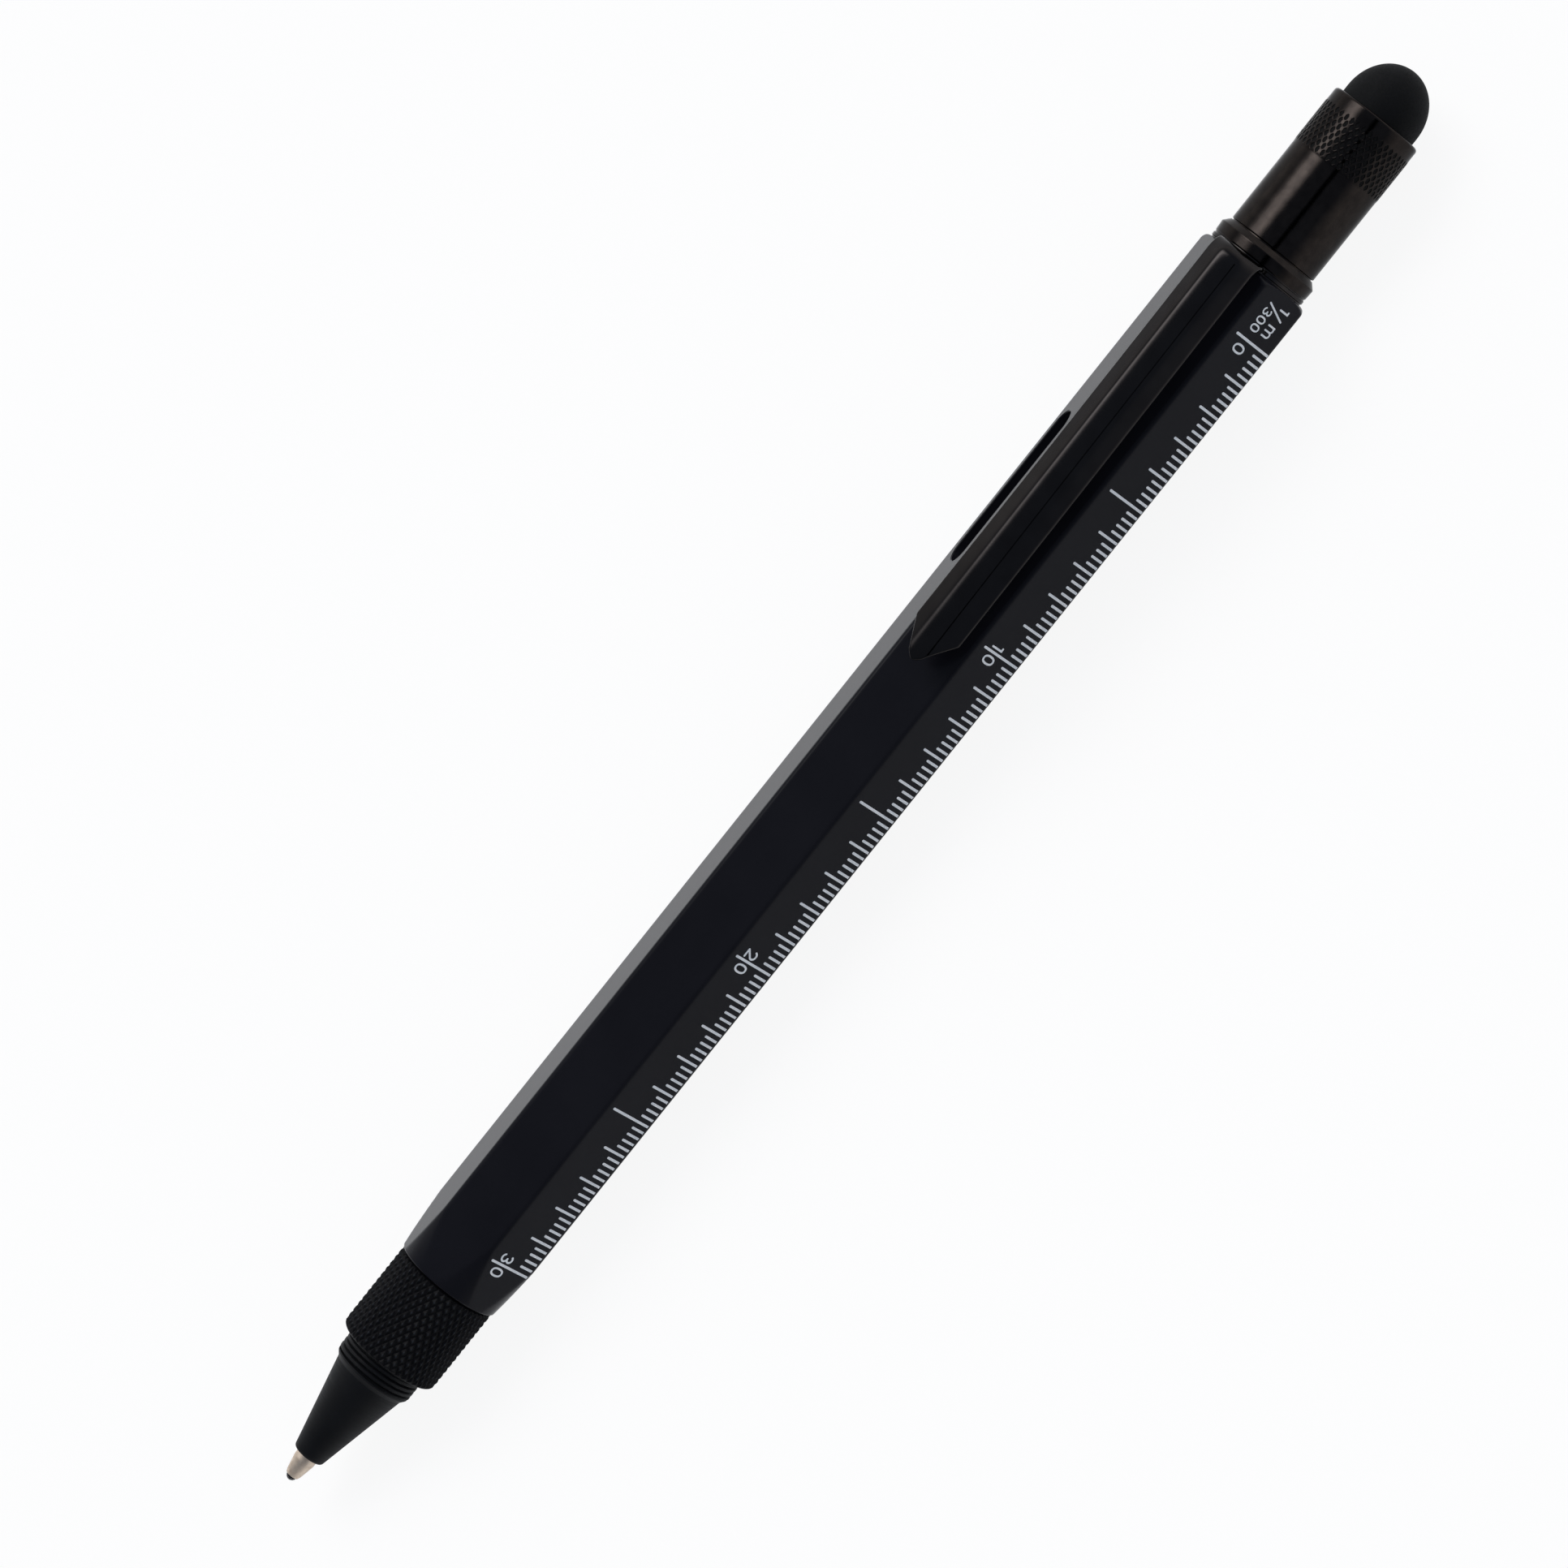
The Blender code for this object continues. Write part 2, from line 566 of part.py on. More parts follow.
def make_clip_ring(frame):
    """The clip's washer, with a square tab that the arm rises from."""
    tab_top = CLIP_HINGE_Z - SEAT_GAP / 2
    start = math.asin(CLIP_WALL_HALF / CLIP_RING_R)
    arc = FULL_TURN - 2 * start
    outline = [(CLIP_RING_R * math.sin(start + arc * k / ROUND_SIDES),
                CLIP_RING_R * math.cos(start + arc * k / ROUND_SIDES)) for k in range(ROUND_SIDES + 1)]
    outline += [(-CLIP_WALL_HALF, tab_top), (CLIP_WALL_HALF, tab_top)]
    ring = make_piece("clip_ring", prism(outline, 0, CLIP_SHEET), frame, X_CLIP,
                      ((0.03, 0.025, 0.024), 0.25, 0.9))
    hole = [(-OVERRUN, 0), (-OVERRUN, BARREL_BORE_R), (OVERRUN, BARREL_BORE_R), (OVERRUN, 0)]
    boolean(ring, turned(hole, HIDDEN_SIDES), "clip_ring_hole", 'DIFFERENCE')


def clip_section(x, crest, edge, edge_half, tangent):
    """The eight corners of the folded sheet: outer edge, crest, crest, edge, then the inner side.

    tangent is 0 along the arm and a quarter turn down the back wall. The fold flattens with it.
    """
    upright = math.cos(tangent)
    thick = CLIP_SHEET
    edge_thick = thick * (1 - (1 - math.cos(CLIP_FOLD)) * upright)
    edge_in = edge_half - thick * math.sin(CLIP_FOLD) * upright
    crest_in = CLIP_PLATE_HALF - thick * math.tan(CLIP_FOLD / 2) * upright
    outer = [(x, edge_half, edge), (x, CLIP_PLATE_HALF, crest)]
    inner = [(x - edge_thick * math.sin(tangent), edge_in, edge - edge_thick * upright),
             (x - thick * math.sin(tangent), crest_in, crest - thick * upright)]
    outer += [(px, -py, pz) for px, py, pz in reversed(outer)]
    inner += [(px, -py, pz) for px, py, pz in reversed(inner)]
    return outer + inner[::-1]


def make_clip_arm(frame):
    """Folded three-facet arm: a lofted channel, bent down at its root, cut to a point at its tip."""
    hinge_x = CLIP_SHEET / 2
    back = CLIP_SHEET - hinge_x
    bend_start = back - CLIP_BEND_R
    tip = back - CLIP_LENGTH
    sections = []
    for k in range(CLIP_STATIONS + 1):
        share = k / CLIP_STATIONS
        x = tip - OVERRUN + (bend_start - tip + OVERRUN) * share
        crest = CLIP_TIP_CREST + (CLIP_ROOT_CREST - CLIP_TIP_CREST) * share
        edge = CLIP_TIP_EDGE + (CLIP_ROOT_EDGE - CLIP_TIP_EDGE) * share ** 2
        half = CLIP_TIP_EDGE_HALF + (CLIP_ROOT_EDGE_HALF - CLIP_TIP_EDGE_HALF) * share
        sections.append(clip_section(x, crest, edge, half, 0))
    for k in range(1, CLIP_BEND_STEPS + 1):
        angle = math.pi / 2 * k / CLIP_BEND_STEPS
        drop = CLIP_BEND_R * (1 - math.cos(angle))
        half = CLIP_ROOT_EDGE_HALF + (CLIP_WALL_HALF - CLIP_ROOT_EDGE_HALF) * math.sin(angle)
        sections.append(clip_section(bend_start + CLIP_BEND_R * math.sin(angle),
                                     CLIP_ROOT_CREST - drop, CLIP_ROOT_EDGE - drop, half, angle))
    foot = CLIP_HINGE_Z + SEAT_GAP / 2
    sections.append(clip_section(back, foot, foot, CLIP_WALL_HALF, math.pi / 2))
    bm = bmesh.new()
    rows = [[bm.verts.new((x, y, z - CLIP_HINGE_Z)) for x, y, z in section] for section in sections]
    for before, after in zip(rows, rows[1:]):
        for k in range(len(before)):
            after_k = (k + 1) % len(before)
            bm.faces.new((before[k], before[after_k], after[after_k], after[k]))
    start, end = rows[0], rows[-1]
    for k in range(3):
        bm.faces.new((start[k], start[k + 1], start[6 - k], start[7 - k]))
        bm.faces.new((end[k], end[k + 1], end[6 - k], end[7 - k]))
    arm = make_piece("clip_arm", bm, frame, frame.location.x, ((0.03, 0.025, 0.024), 0.25, 0.9),
                     frame.location.z)
    point = tip + CLIP_POINT_LENGTH
    wide = CLIP_WALL_HALF + OVERRUN
    outline = [(tip, -CLIP_TIP_HALF), (tip + CLIP_TIP_LENGTH, -CLIP_PLATE_HALF),
               (point, -CLIP_TIP_EDGE_HALF), (point, -wide), (back + OVERRUN, -wide),
               (back + OVERRUN, wide), (point, wide), (point, CLIP_TIP_EDGE_HALF),
               (tip + CLIP_TIP_LENGTH, CLIP_PLATE_HALF), (tip, CLIP_TIP_HALF)]
    boolean(arm, slab(outline, -OVERRUN, CLIP_ROOT_CREST), "clip_outline", 'INTERSECT')


def make_grip(frame):
    """Turning grip with a raised diamond knurl, bored for the nose thread and the cam tube."""
    row_pitch = GRIP_KNURL_LENGTH / 2
    start = GRIP_FRONT_ROUND
    rows = int((GRIP_LENGTH - GRIP_EDGE - start) / row_pitch)
    row_pitch = (GRIP_LENGTH - GRIP_EDGE - start) / rows
    root = GRIP_R - GRIP_KNURL_DEPTH
    bm = bmesh.new()
    first, last = add_knurl(bm, start, row_pitch, rows, GRIP_R, GRIP_KNURL_DEPTH, GRIP_KNURL_COUNT, True)
    rise = root - GRIP_FRONT_R
    thread_bore = THREAD_R + RUNNING_GAP
    hub_bore = CAM_R + SEAT_GAP
    hub = GRIP_LENGTH - GRIP_HUB_LENGTH
    plain = [(GRIP_LENGTH, root - GRIP_EDGE), (GRIP_LENGTH, hub_bore), (hub, hub_bore),
             (hub, thread_bore), (0, thread_bore)]
    for k in range(ARC_STEPS):
        angle = math.pi / 2 * k / ARC_STEPS
        plain.append((start * (1 - math.cos(angle)), GRIP_FRONT_R + rise * math.sin(angle)))
    rings = [add_ring(bm, x, radius, GRIP_KNURL_COUNT) for x, radius in plain]
    for before, after in zip([last] + rings, rings + [first]):
        join_rings(bm, before, after)
    make_piece("grip", bm, frame, X_GRIP, ((0.014, 0.014, 0.017), 0.45, 0.5))


def make_cam_tube(frame):
    """Tube that turns with the grip: thick in front, thin behind, with a helical slot for the pin."""
    length, thick = X_CAM_END - X_CAM, X_CAM_STEP - X_CAM
    groove = X_RING - X_CAM - SEAT_GAP
    groove_end = groove + RING_WIDTH + 2 * SEAT_GAP
    bore = CAM_R - CAM_WALL
    profile = [(0, CAM_GUIDE_R), (0, CAM_R), (groove, CAM_R), (groove, RING_GROOVE_R),
               (groove_end, RING_GROOVE_R), (groove_end, CAM_R), (length, CAM_R), (length, bore),
               (thick, bore), (thick, CAM_GUIDE_R)]
    cam = make_piece("cam_tube", turned(profile, HIDDEN_SIDES), frame, X_CAM,
                     ((0.50, 0.33, 0.10), 0.35, 1.0))
    start = X_PIN - X_CAM
    slot = slot_tool(start, start + TRAVEL, math.pi / 2, math.pi / 2 - TWIST, SLOT_WIDTH, CAM_R,
                     bore - CAM_WALL, CAM_R + CAM_WALL)
    boolean(cam, slot, "cam_slot", 'DIFFERENCE')


def make_retaining_ring(frame):
    """Split ring in the cam tube's groove, behind the bearing bush."""
    profile = ring_profile(RING_WIDTH, RING_GROOVE_R + SEAT_GAP, RING_R)
    bm = turned(profile, SMALL_SIDES, FULL_TURN - RING_OPENING)
    make_piece("retaining_ring", bm, frame, X_RING, ((0.30, 0.30, 0.31), 0.35, 1.0))


def make_nose_bush(frame):
    """Threaded bush between the cone and the grip."""
    inner_r, spigot = NOSE_BORE_R, BUSH_SPIGOT_LENGTH
    collar = spigot + SEAT_GAP
    length = collar + THREAD_SHOWS + THREAD_ENGAGED
    profile = [(0, inner_r), (0, BUSH_SPIGOT_R), (collar, BUSH_SPIGOT_R),
               (collar, THREAD_R - THREAD_CHAMFER), (collar + THREAD_CHAMFER, THREAD_R),
               (length - THREAD_CHAMFER, THREAD_R), (length, THREAD_R - THREAD_CHAMFER), (length, inner_r)]
    make_piece("nose_bush", turned(profile), frame, X_THREAD - spigot, ((0.014, 0.014, 0.017), 0.4, 0.6))


def make_nose_cone(frame):
    """Turned cone with the hole for the writing point, hollow for the refill and the bush."""
    socket_r, socket = BUSH_SPIGOT_R + RUNNING_GAP, CONE_LENGTH - BUSH_SPIGOT_LENGTH - SEAT_GAP
    tip_edge = (0, CONE_TIP_R)
    profile = [(0, NOSE_HOLE_R), tip_edge, (CONE_TAPER_LENGTH, CONE_TAPER_R),
               (CONE_LENGTH, CONE_RIM_R), (CONE_LENGTH, socket_r), (socket, socket_r),
               (socket, NOSE_BORE_R), (NOSE_LAND, NOSE_BORE_R), (NOSE_LAND, NOSE_HOLE_R)]
    profile = rounded(profile, {profile.index(tip_edge): CONE_ROUND})
    make_piece("nose_cone", turned(profile), frame, X_CONE,
               ((0.016, 0.016, 0.019), 0.5, 0.4))


def make_refill(frame):
    """Writing point, ball, tube and ink."""
    lip = BALL_SHOWS
    neck = lip + POINT_LIP_LENGTH
    cone = neck + POINT_CONE_LENGTH
    shank = cone + POINT_SHANK_LENGTH
    collar = shank - POINT_COLLAR_LENGTH
    tail = shank + POINT_TAIL_LENGTH
    cup_r = BALL_R + BALL_GAP
    cup = 2 * BALL_R + BALL_GAP
    tail_r = REFILL_R - REFILL_WALL - SEAT_GAP
    profile = [(lip, cup_r), (lip, POINT_LIP_R), (neck, POINT_NECK_R), (cone, POINT_SHANK_R),
               (collar, POINT_SHANK_R), (collar, REFILL_R - SEAT_GAP),
               (shank - SEAT_GAP, REFILL_R - SEAT_GAP), (shank - SEAT_GAP, tail_r), (tail, tail_r),
               (tail, INK_CHANNEL_R), (cup, INK_CHANNEL_R), (cup, cup_r)]
    make_piece("refill_tip", turned(profile, SMALL_SIDES), frame, X_TIP, ((0.62, 0.55, 0.48), 0.28, 1.0))
    ball = bmesh.new()
    bmesh.ops.create_uvsphere(ball, u_segments=HIDDEN_SIDES // 2, v_segments=HIDDEN_SIDES // 3,
                              radius=BALL_R)
    for vert in ball.verts:
        vert.co = (vert.co.z, vert.co.y, -vert.co.x)
    make_piece("refill_ball", ball, frame, X_TIP + BALL_R, ((0.02, 0.02, 0.03), 0.15, 0.6))
    bore = REFILL_R - REFILL_WALL
    tube_length = X_REFILL_END - X_REFILL_TUBE
    make_piece("refill_tube", turned(ring_profile(tube_length, bore, REFILL_R), SMALL_SIDES), frame,
               X_REFILL_TUBE, ((0.60, 0.58, 0.55), 0.3, 1.0))
    ink_r = bore - SEAT_GAP
    ink_length = X_REFILL_END - INK_AIR - X_INK
    ink = [(0, 0), (0, ink_r), (ink_length, ink_r), (ink_length, 0)]
    make_piece("refill_ink", turned(ink, SMALL_SIDES // 2), frame, X_INK,
               ((0.005, 0.005, 0.01), 0.1, 0.0))


def make_refill_holder(frame):
    """Carrier on the refill's end, with the follower pin standing in its cross hole."""
    socket_r = REFILL_R + SEAT_GAP
    profile = [(0, socket_r), (0, HOLDER_R), (HOLDER_LENGTH, HOLDER_R), (HOLDER_LENGTH, 0),
               (HOLDER_SOCKET, 0), (HOLDER_SOCKET, socket_r)]
    holder = make_piece("refill_holder", turned(profile, HIDDEN_SIDES), frame, X_HOLDER,
                        ((0.85, 0.85, 0.83), 0.5, 0.0))
    hole = upright_cylinder(PIN_R + SEAT_GAP, PIN_START_R - SEAT_GAP, HOLDER_R + OVERRUN,
                            X_PIN - X_HOLDER)
    boolean(holder, hole, "pin_hole", 'DIFFERENCE')
    pin = upright_cylinder(PIN_R, PIN_START_R, PIN_END_R, 0)
    make_piece("cam_pin", pin, frame, X_PIN, ((0.40, 0.40, 0.41), 0.3, 1.0))


def upright_cylinder(radius, z0, z1, x):
    """A cylinder along Z between two heights above the pen's axis."""
    angles = [FULL_TURN * k / SMALL_SIDES for k in range(SMALL_SIDES)]
    outline = [(x + radius * math.cos(angle), radius * math.sin(angle)) for angle in angles]
    return slab(outline, z0, z1)


def make_driver_bit(frame):
    """Double-ended bit: hexagonal shank, round necks, flat blade inside and cross point outside."""
    bit = make_piece("driver_bit", prism(hexagon(BIT_FLATS), -OVERRUN, BIT_LENGTH + OVERRUN),
                     frame, X_BIT, ((0.35, 0.35, 0.36), 0.3, 1.0))
    shank_r = BIT_FLATS / math.sqrt(3) + OVERRUN
    neck_end, length = BIT_NECK_LENGTH, BIT_LENGTH
    envelope = [(0, 0), (0, BIT_NECK_R), (neck_end, BIT_NECK_R), (neck_end + BIT_SHOULDER, shank_r),
                (length - neck_end - BIT_SHOULDER, shank_r), (length - neck_end, BIT_NECK_R),
                (length - CROSS_LENGTH, BIT_NECK_R), (length, CROSS_POINT_R), (length, 0)]
    boolean(bit, turned(envelope, SMALL_SIDES), "bit_envelope", 'INTERSECT')
    wide = BIT_NECK_R + OVERRUN
    for sign, name in ((1, "blade_upper_cut"), (-1, "blade_lower_cut")):
        side = [(-OVERRUN, sign * BLADE_THICKNESS / 2), (0, sign * BLADE_THICKNESS / 2),
                (BLADE_LENGTH, sign * wide), (-OVERRUN, sign * wide)]
        boolean(bit, cheek(side, wide), name, 'DIFFERENCE')
    flute_length = length - CROSS_LENGTH - FLUTE_OFFSET
    for k in range(4):
        corner = [(FLUTE_OFFSET, FLUTE_OFFSET), (wide, FLUTE_OFFSET), (wide, wide), (FLUTE_OFFSET, wide)]
        flute = prism(corner, flute_length, length + OVERRUN)
        for vert in flute.verts:
            if vert.co.x < length:
                vert.co.y += BIT_NECK_R - FLUTE_OFFSET
                vert.co.z += BIT_NECK_R - FLUTE_OFFSET
        turn_about_axis(flute, math.pi / 2 * k)
        boolean(bit, flute, f"cross_flute_{k + 1}", 'DIFFERENCE')


def cheek(outline, half_width):
    """Extrude a closed outline of (x, z) points across the pen."""
    bm = bmesh.new()
    base = bm.faces.new([bm.verts.new((x, -half_width, z)) for x, z in outline])
    extruded = bmesh.ops.extrude_face_region(bm, geom=[base])["geom"]
    moved = [part for part in extruded if isinstance(part, bmesh.types.BMVert)]
    bmesh.ops.translate(bm, verts=moved, vec=(0, 2 * half_width, 0))
    return bm


def make_cap_bush(frame):
    """Threaded bush in the cap, over the rear bush's spigot."""
    inner = SPIGOT_R + RUNNING_GAP
    profile = ring_profile(SPIGOT_LENGTH - SEAT_GAP, inner, inner + CAP_BUSH_WALL)
    make_piece("cap_bush", turned(profile, HIDDEN_SIDES), frame, X_SLEEVE, ((0.50, 0.33, 0.10), 0.35, 1.0))


def make_stylus_sleeve(frame):
    """Cap tube with a band of pitted diamond knurl between two plain stretches."""
    count, rows = BAND_KNURL_COUNT, BAND_ROWS
    bm = bmesh.new()
    first, last = add_knurl(bm, BAND_START, BAND_KNURL_LENGTH / 2, rows, SLEEVE_R + BAND_RISE, BAND_DEPTH,
                            count, False)
    band_end = BAND_START + rows * BAND_KNURL_LENGTH / 2
    behind = [(band_end, SLEEVE_R)]
    for k in range(ARC_STEPS + 1):
        angle = math.pi / 2 * k / ARC_STEPS
        behind.append((SLEEVE_LENGTH - SLEEVE_END_ROUND * (1 - math.sin(angle)),
                       SLEEVE_R - SLEEVE_END_ROUND * (1 - math.cos(angle))))
    plain = behind + [(SLEEVE_LENGTH, SLEEVE_BORE_R), (0, SLEEVE_BORE_R), (0, SLEEVE_R - SLEEVE_FRONT_EDGE),
                      (SLEEVE_FRONT_EDGE, SLEEVE_R), (BAND_START, SLEEVE_R)]
    rings = [add_ring(bm, x, radius, count) for x, radius in plain]
    for before, after in zip([last] + rings, rings + [first]):
        join_rings(bm, before, after)
    make_piece("stylus_sleeve", bm, frame, X_SLEEVE, ((0.03, 0.025, 0.024), 0.25, 0.9))


def make_stylus_plug(frame):
    """Plug that closes the cap and carries the rubber dome on its peg."""
    rim_r, peg_r = SLEEVE_BORE_R - SEAT_GAP, DOME_R - DOME_WALL - SEAT_GAP
    length = PLUG_RIM_LENGTH + PLUG_PEG_LENGTH
    profile = [(0, 0), (0, rim_r), (PLUG_RIM_LENGTH, rim_r), (PLUG_RIM_LENGTH, peg_r), (length, peg_r),
               (length, 0)]
    make_piece("stylus_plug", turned(profile, HIDDEN_SIDES), frame, X_PLUG, ((0.03, 0.03, 0.03), 0.5, 0.0))


def make_stylus_dome(frame):
    """Hollow rubber dome: a straight skirt and half an ellipsoid, the same inside as outside."""
    end = X_SLEEVE_END + DOME_REACH - X_DOME
    centre = end - DOME_HALF_LENGTH
    outer, inner = [(0, DOME_R)], [(0, DOME_R - DOME_WALL)]
    for k in range(DOME_STEPS + 1):
        angle = math.pi / 2 * k / DOME_STEPS
        run, rise = math.sin(angle), math.cos(angle) if k < DOME_STEPS else 0
        outer.append((centre + DOME_HALF_LENGTH * run, DOME_R * rise))
        inner.append((centre + (DOME_HALF_LENGTH - DOME_WALL) * run, (DOME_R - DOME_WALL) * rise))
    profile = outer + inner[::-1]
    make_piece("stylus_dome", turned(profile, ROUND_SIDES), frame, X_DOME, ((0.02, 0.02, 0.022), 0.8, 0.0))


def main():
    """Build every body of the pen."""
    clear_scene()
    barrel = make_frame("barrel_frame", X_BARREL)
    make_barrel(barrel)
    make_front_bush(barrel)
    make_guide_tube(barrel)
    make_level(barrel)
    make_rear_bush(barrel)
    make_bit_magnet(barrel)
    make_clip_ring(barrel)
    make_clip_arm(make_frame("clip_hinge", X_CLIP + CLIP_SHEET / 2, AXIS_Z + CLIP_HINGE_Z))
    twist = make_frame("twist_axis", X_GRIP)
    make_grip(twist)
    make_cam_tube(twist)
    make_retaining_ring(twist)
    make_nose_bush(make_frame("nose_slide", X_THREAD))
    make_nose_cone(make_frame("nose_turn", X_CONE))
    refill = make_frame("refill_slide", X_TIP)
    make_refill(refill)
    make_refill_holder(refill)
    make_driver_bit(make_frame("bit_slide", X_BIT))
    make_cap_bush(make_frame("cap_slide", X_SLEEVE))
    cap = make_frame("cap_turn", X_SLEEVE)
    make_stylus_sleeve(cap)
    make_stylus_plug(cap)
    make_stylus_dome(cap)


main()
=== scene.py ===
"""Dressed scene of a hexagonal multi tool pen: camera, table, soft light, fine surfaces and finishes.

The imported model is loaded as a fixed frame. Each visible piece that needs finer forms than the solids
have is a surface worked out with numpy in millimetres and laid over its node; the rest keep their
solids and get a finish. The pen's axis runs along X at a height of half its width across flats.
"""

import math

import bpy
import numpy as np
from mathutils import Matrix, Vector


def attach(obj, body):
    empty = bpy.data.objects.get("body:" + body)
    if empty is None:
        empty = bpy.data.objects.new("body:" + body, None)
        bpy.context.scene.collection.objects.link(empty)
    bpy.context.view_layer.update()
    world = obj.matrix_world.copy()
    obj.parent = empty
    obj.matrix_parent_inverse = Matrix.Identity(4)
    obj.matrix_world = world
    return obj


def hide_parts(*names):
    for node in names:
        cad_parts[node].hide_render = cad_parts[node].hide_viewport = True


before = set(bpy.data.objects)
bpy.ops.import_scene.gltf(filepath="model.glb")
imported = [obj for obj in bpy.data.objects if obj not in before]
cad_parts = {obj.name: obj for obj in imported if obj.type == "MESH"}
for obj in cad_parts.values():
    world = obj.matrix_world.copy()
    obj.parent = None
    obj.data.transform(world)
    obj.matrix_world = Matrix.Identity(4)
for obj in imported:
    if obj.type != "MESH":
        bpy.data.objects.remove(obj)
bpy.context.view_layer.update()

MM = 0.001
TURN = 2 * math.pi

# Height of the pen's axis, and stations along the pen, in mm as in the part's source
AXIS_Z = 4.837
X_TIP, X_CONE, X_THREAD, X_GRIP = -76.52, -74.01, -64.51, -62.66
X_BARREL, BARREL_LENGTH = -54.06, 109.64
X_CLIP, X_STEM, X_FLANGE, X_SLEEVE = 55.68, 40.14, 56.18, 57.84
X_DOME, X_END = 69.94, 76.52
X_WINDOW, X_VIAL, VIAL_LENGTH, VIAL_R = 28.905, 18.905, 20.0, 3.15

# Barrel, which rests on a flat; its corners are a little sharper than the solid's, as the photo's
# outline and shading show
HALF_FLATS, CORNER_ROUND = AXIS_Z, 0.50
MOUTH_R, TAPER = 4.88, math.radians(6.7)
BORE_R, SEAT_R, SEAT_END = 3.30, 4.00, 7.60
WINDOW_HALF, WINDOW_R, WINDOW_SHIFT = 6.425, 1.55, -0.35
CORNER_X = (HALF_FLATS - CORNER_ROUND) / math.cos(math.pi / 6)

# Printed scale: 151 ticks on 100 mm, 0 at the stylus end; the print stands PRINT_LIFT off its flat
X_ZERO, TICK_STEP, TICKS, PRINT_LIFT = 50.64, 2 / 3, 151, 0.012

# Edges that turn by more than this many degrees are drawn sharp; the knurls' own ones stay smooth
SHARP, KNURL_SHARP = 38, 60

scene = bpy.context.scene


# Meshes

def shell(grid, loop=False):
    """Points, quads and triangles of a closed surface over a grid of points.

    Column j joins column j + 1 and the last joins the first; row i joins row i + 1. With loop the
    last row joins the first one too, and otherwise each end is closed by a fan to its middle.
    """
    rows, columns = grid.shape[:2]
    index = np.arange(rows * columns).reshape(rows, columns)
    low, high = (index, np.roll(index, -1, 0)) if loop else (index[:-1], index[1:])
    quads = np.stack([low, np.roll(low, -1, 1), np.roll(high, -1, 1), high], -1).reshape(-1, 4)
    points, fans = grid.reshape(-1, 3), np.zeros((0, 3), int)
    if not loop:
        points = np.vstack([points, grid[0].mean(0), grid[-1].mean(0)])
        ends = np.full((2, columns), [[rows * columns], [rows * columns + 1]])
        fans = np.vstack([np.stack([np.roll(index[0], -1), index[0], ends[0]], -1),
                          np.stack([index[-1], np.roll(index[-1], -1), ends[1]], -1)])
    return points, quads, fans


def volume(points, quads, fans):
    """Signed volume: a sixth of the sum of each triangle's triple product."""
    triangles = np.vstack([quads[:, :3], quads[:, [0, 2, 3]], fans])
    a, b, c = (points[triangles[:, k]] for k in range(3))
    return (a * np.cross(b, c)).sum() / 6


def build(name, shells, sharp=SHARP):
    """One mesh object in metres from closed shells in mm, all facing outwards."""
    points, quads, fans, start = [], [], [], 0
    for part in shells:
        turned_in = volume(*part) < 0
        step = -1 if turned_in else 1
        points.append(part[0])
        quads.append(part[1][:, ::step] + start)
        fans.append(part[2][:, ::step] + start)
        start += len(part[0])
    points, quads, fans = np.vstack(points), np.vstack(quads), np.vstack(fans)
    mesh = bpy.data.meshes.new(name)
    mesh.vertices.add(len(points))
    mesh.vertices.foreach_set("co", (points * MM).ravel())
    mesh.loops.add(quads.size + fans.size)
    mesh.loops.foreach_set("vertex_index", np.concatenate([quads.ravel(), fans.ravel()]))
    mesh.polygons.add(len(quads) + len(fans))
    starts = np.concatenate([np.arange(len(quads)) * 4, quads.size + np.arange(len(fans)) * 3])
    mesh.polygons.foreach_set("loop_start", starts)
    mesh.update(calc_edges=True)
    return link(name, mesh, sharp)


def link(name, mesh, sharp):
    """Put a mesh in the scene as an object at the origin, smooth but for its sharper edges."""
    mesh.shade_smooth()
    mesh.set_sharp_from_angle(angle=math.radians(sharp))
    item = bpy.data.objects.new(name, mesh)
    scene.collection.objects.link(item)
    return item


def evaluated(item):
    """The item's mesh with its modifiers worked out."""
    return bpy.data.meshes.new_from_object(item.evaluated_get(bpy.context.evaluated_depsgraph_get()))


def carve(piece, cutter):
    """Take a cutter's volume out of a piece, and drop the cutter."""
    cut = piece.modifiers.new("cut", 'BOOLEAN')
    cut.object, cut.solver = cutter, 'EXACT'
    piece.data = evaluated(piece)
    piece.modifiers.clear()
    bpy.data.objects.remove(cutter)
    piece.data.shade_smooth()
    piece.data.set_sharp_from_angle(angle=math.radians(SHARP))


def around(count):
    """Angles about the pen's axis, from the +Y side towards +Z."""
    return np.arange(count) / count * TURN


def wrapped(x, radius, angles):
    """Grid of points at x along the pen and a radius from its axis, for every row and angle."""
    x = np.broadcast_to(np.asarray(x, float).reshape(len(radius), -1), radius.shape)
    return np.stack([x, radius * np.cos(angles), AXIS_Z + radius * np.sin(angles)], -1)


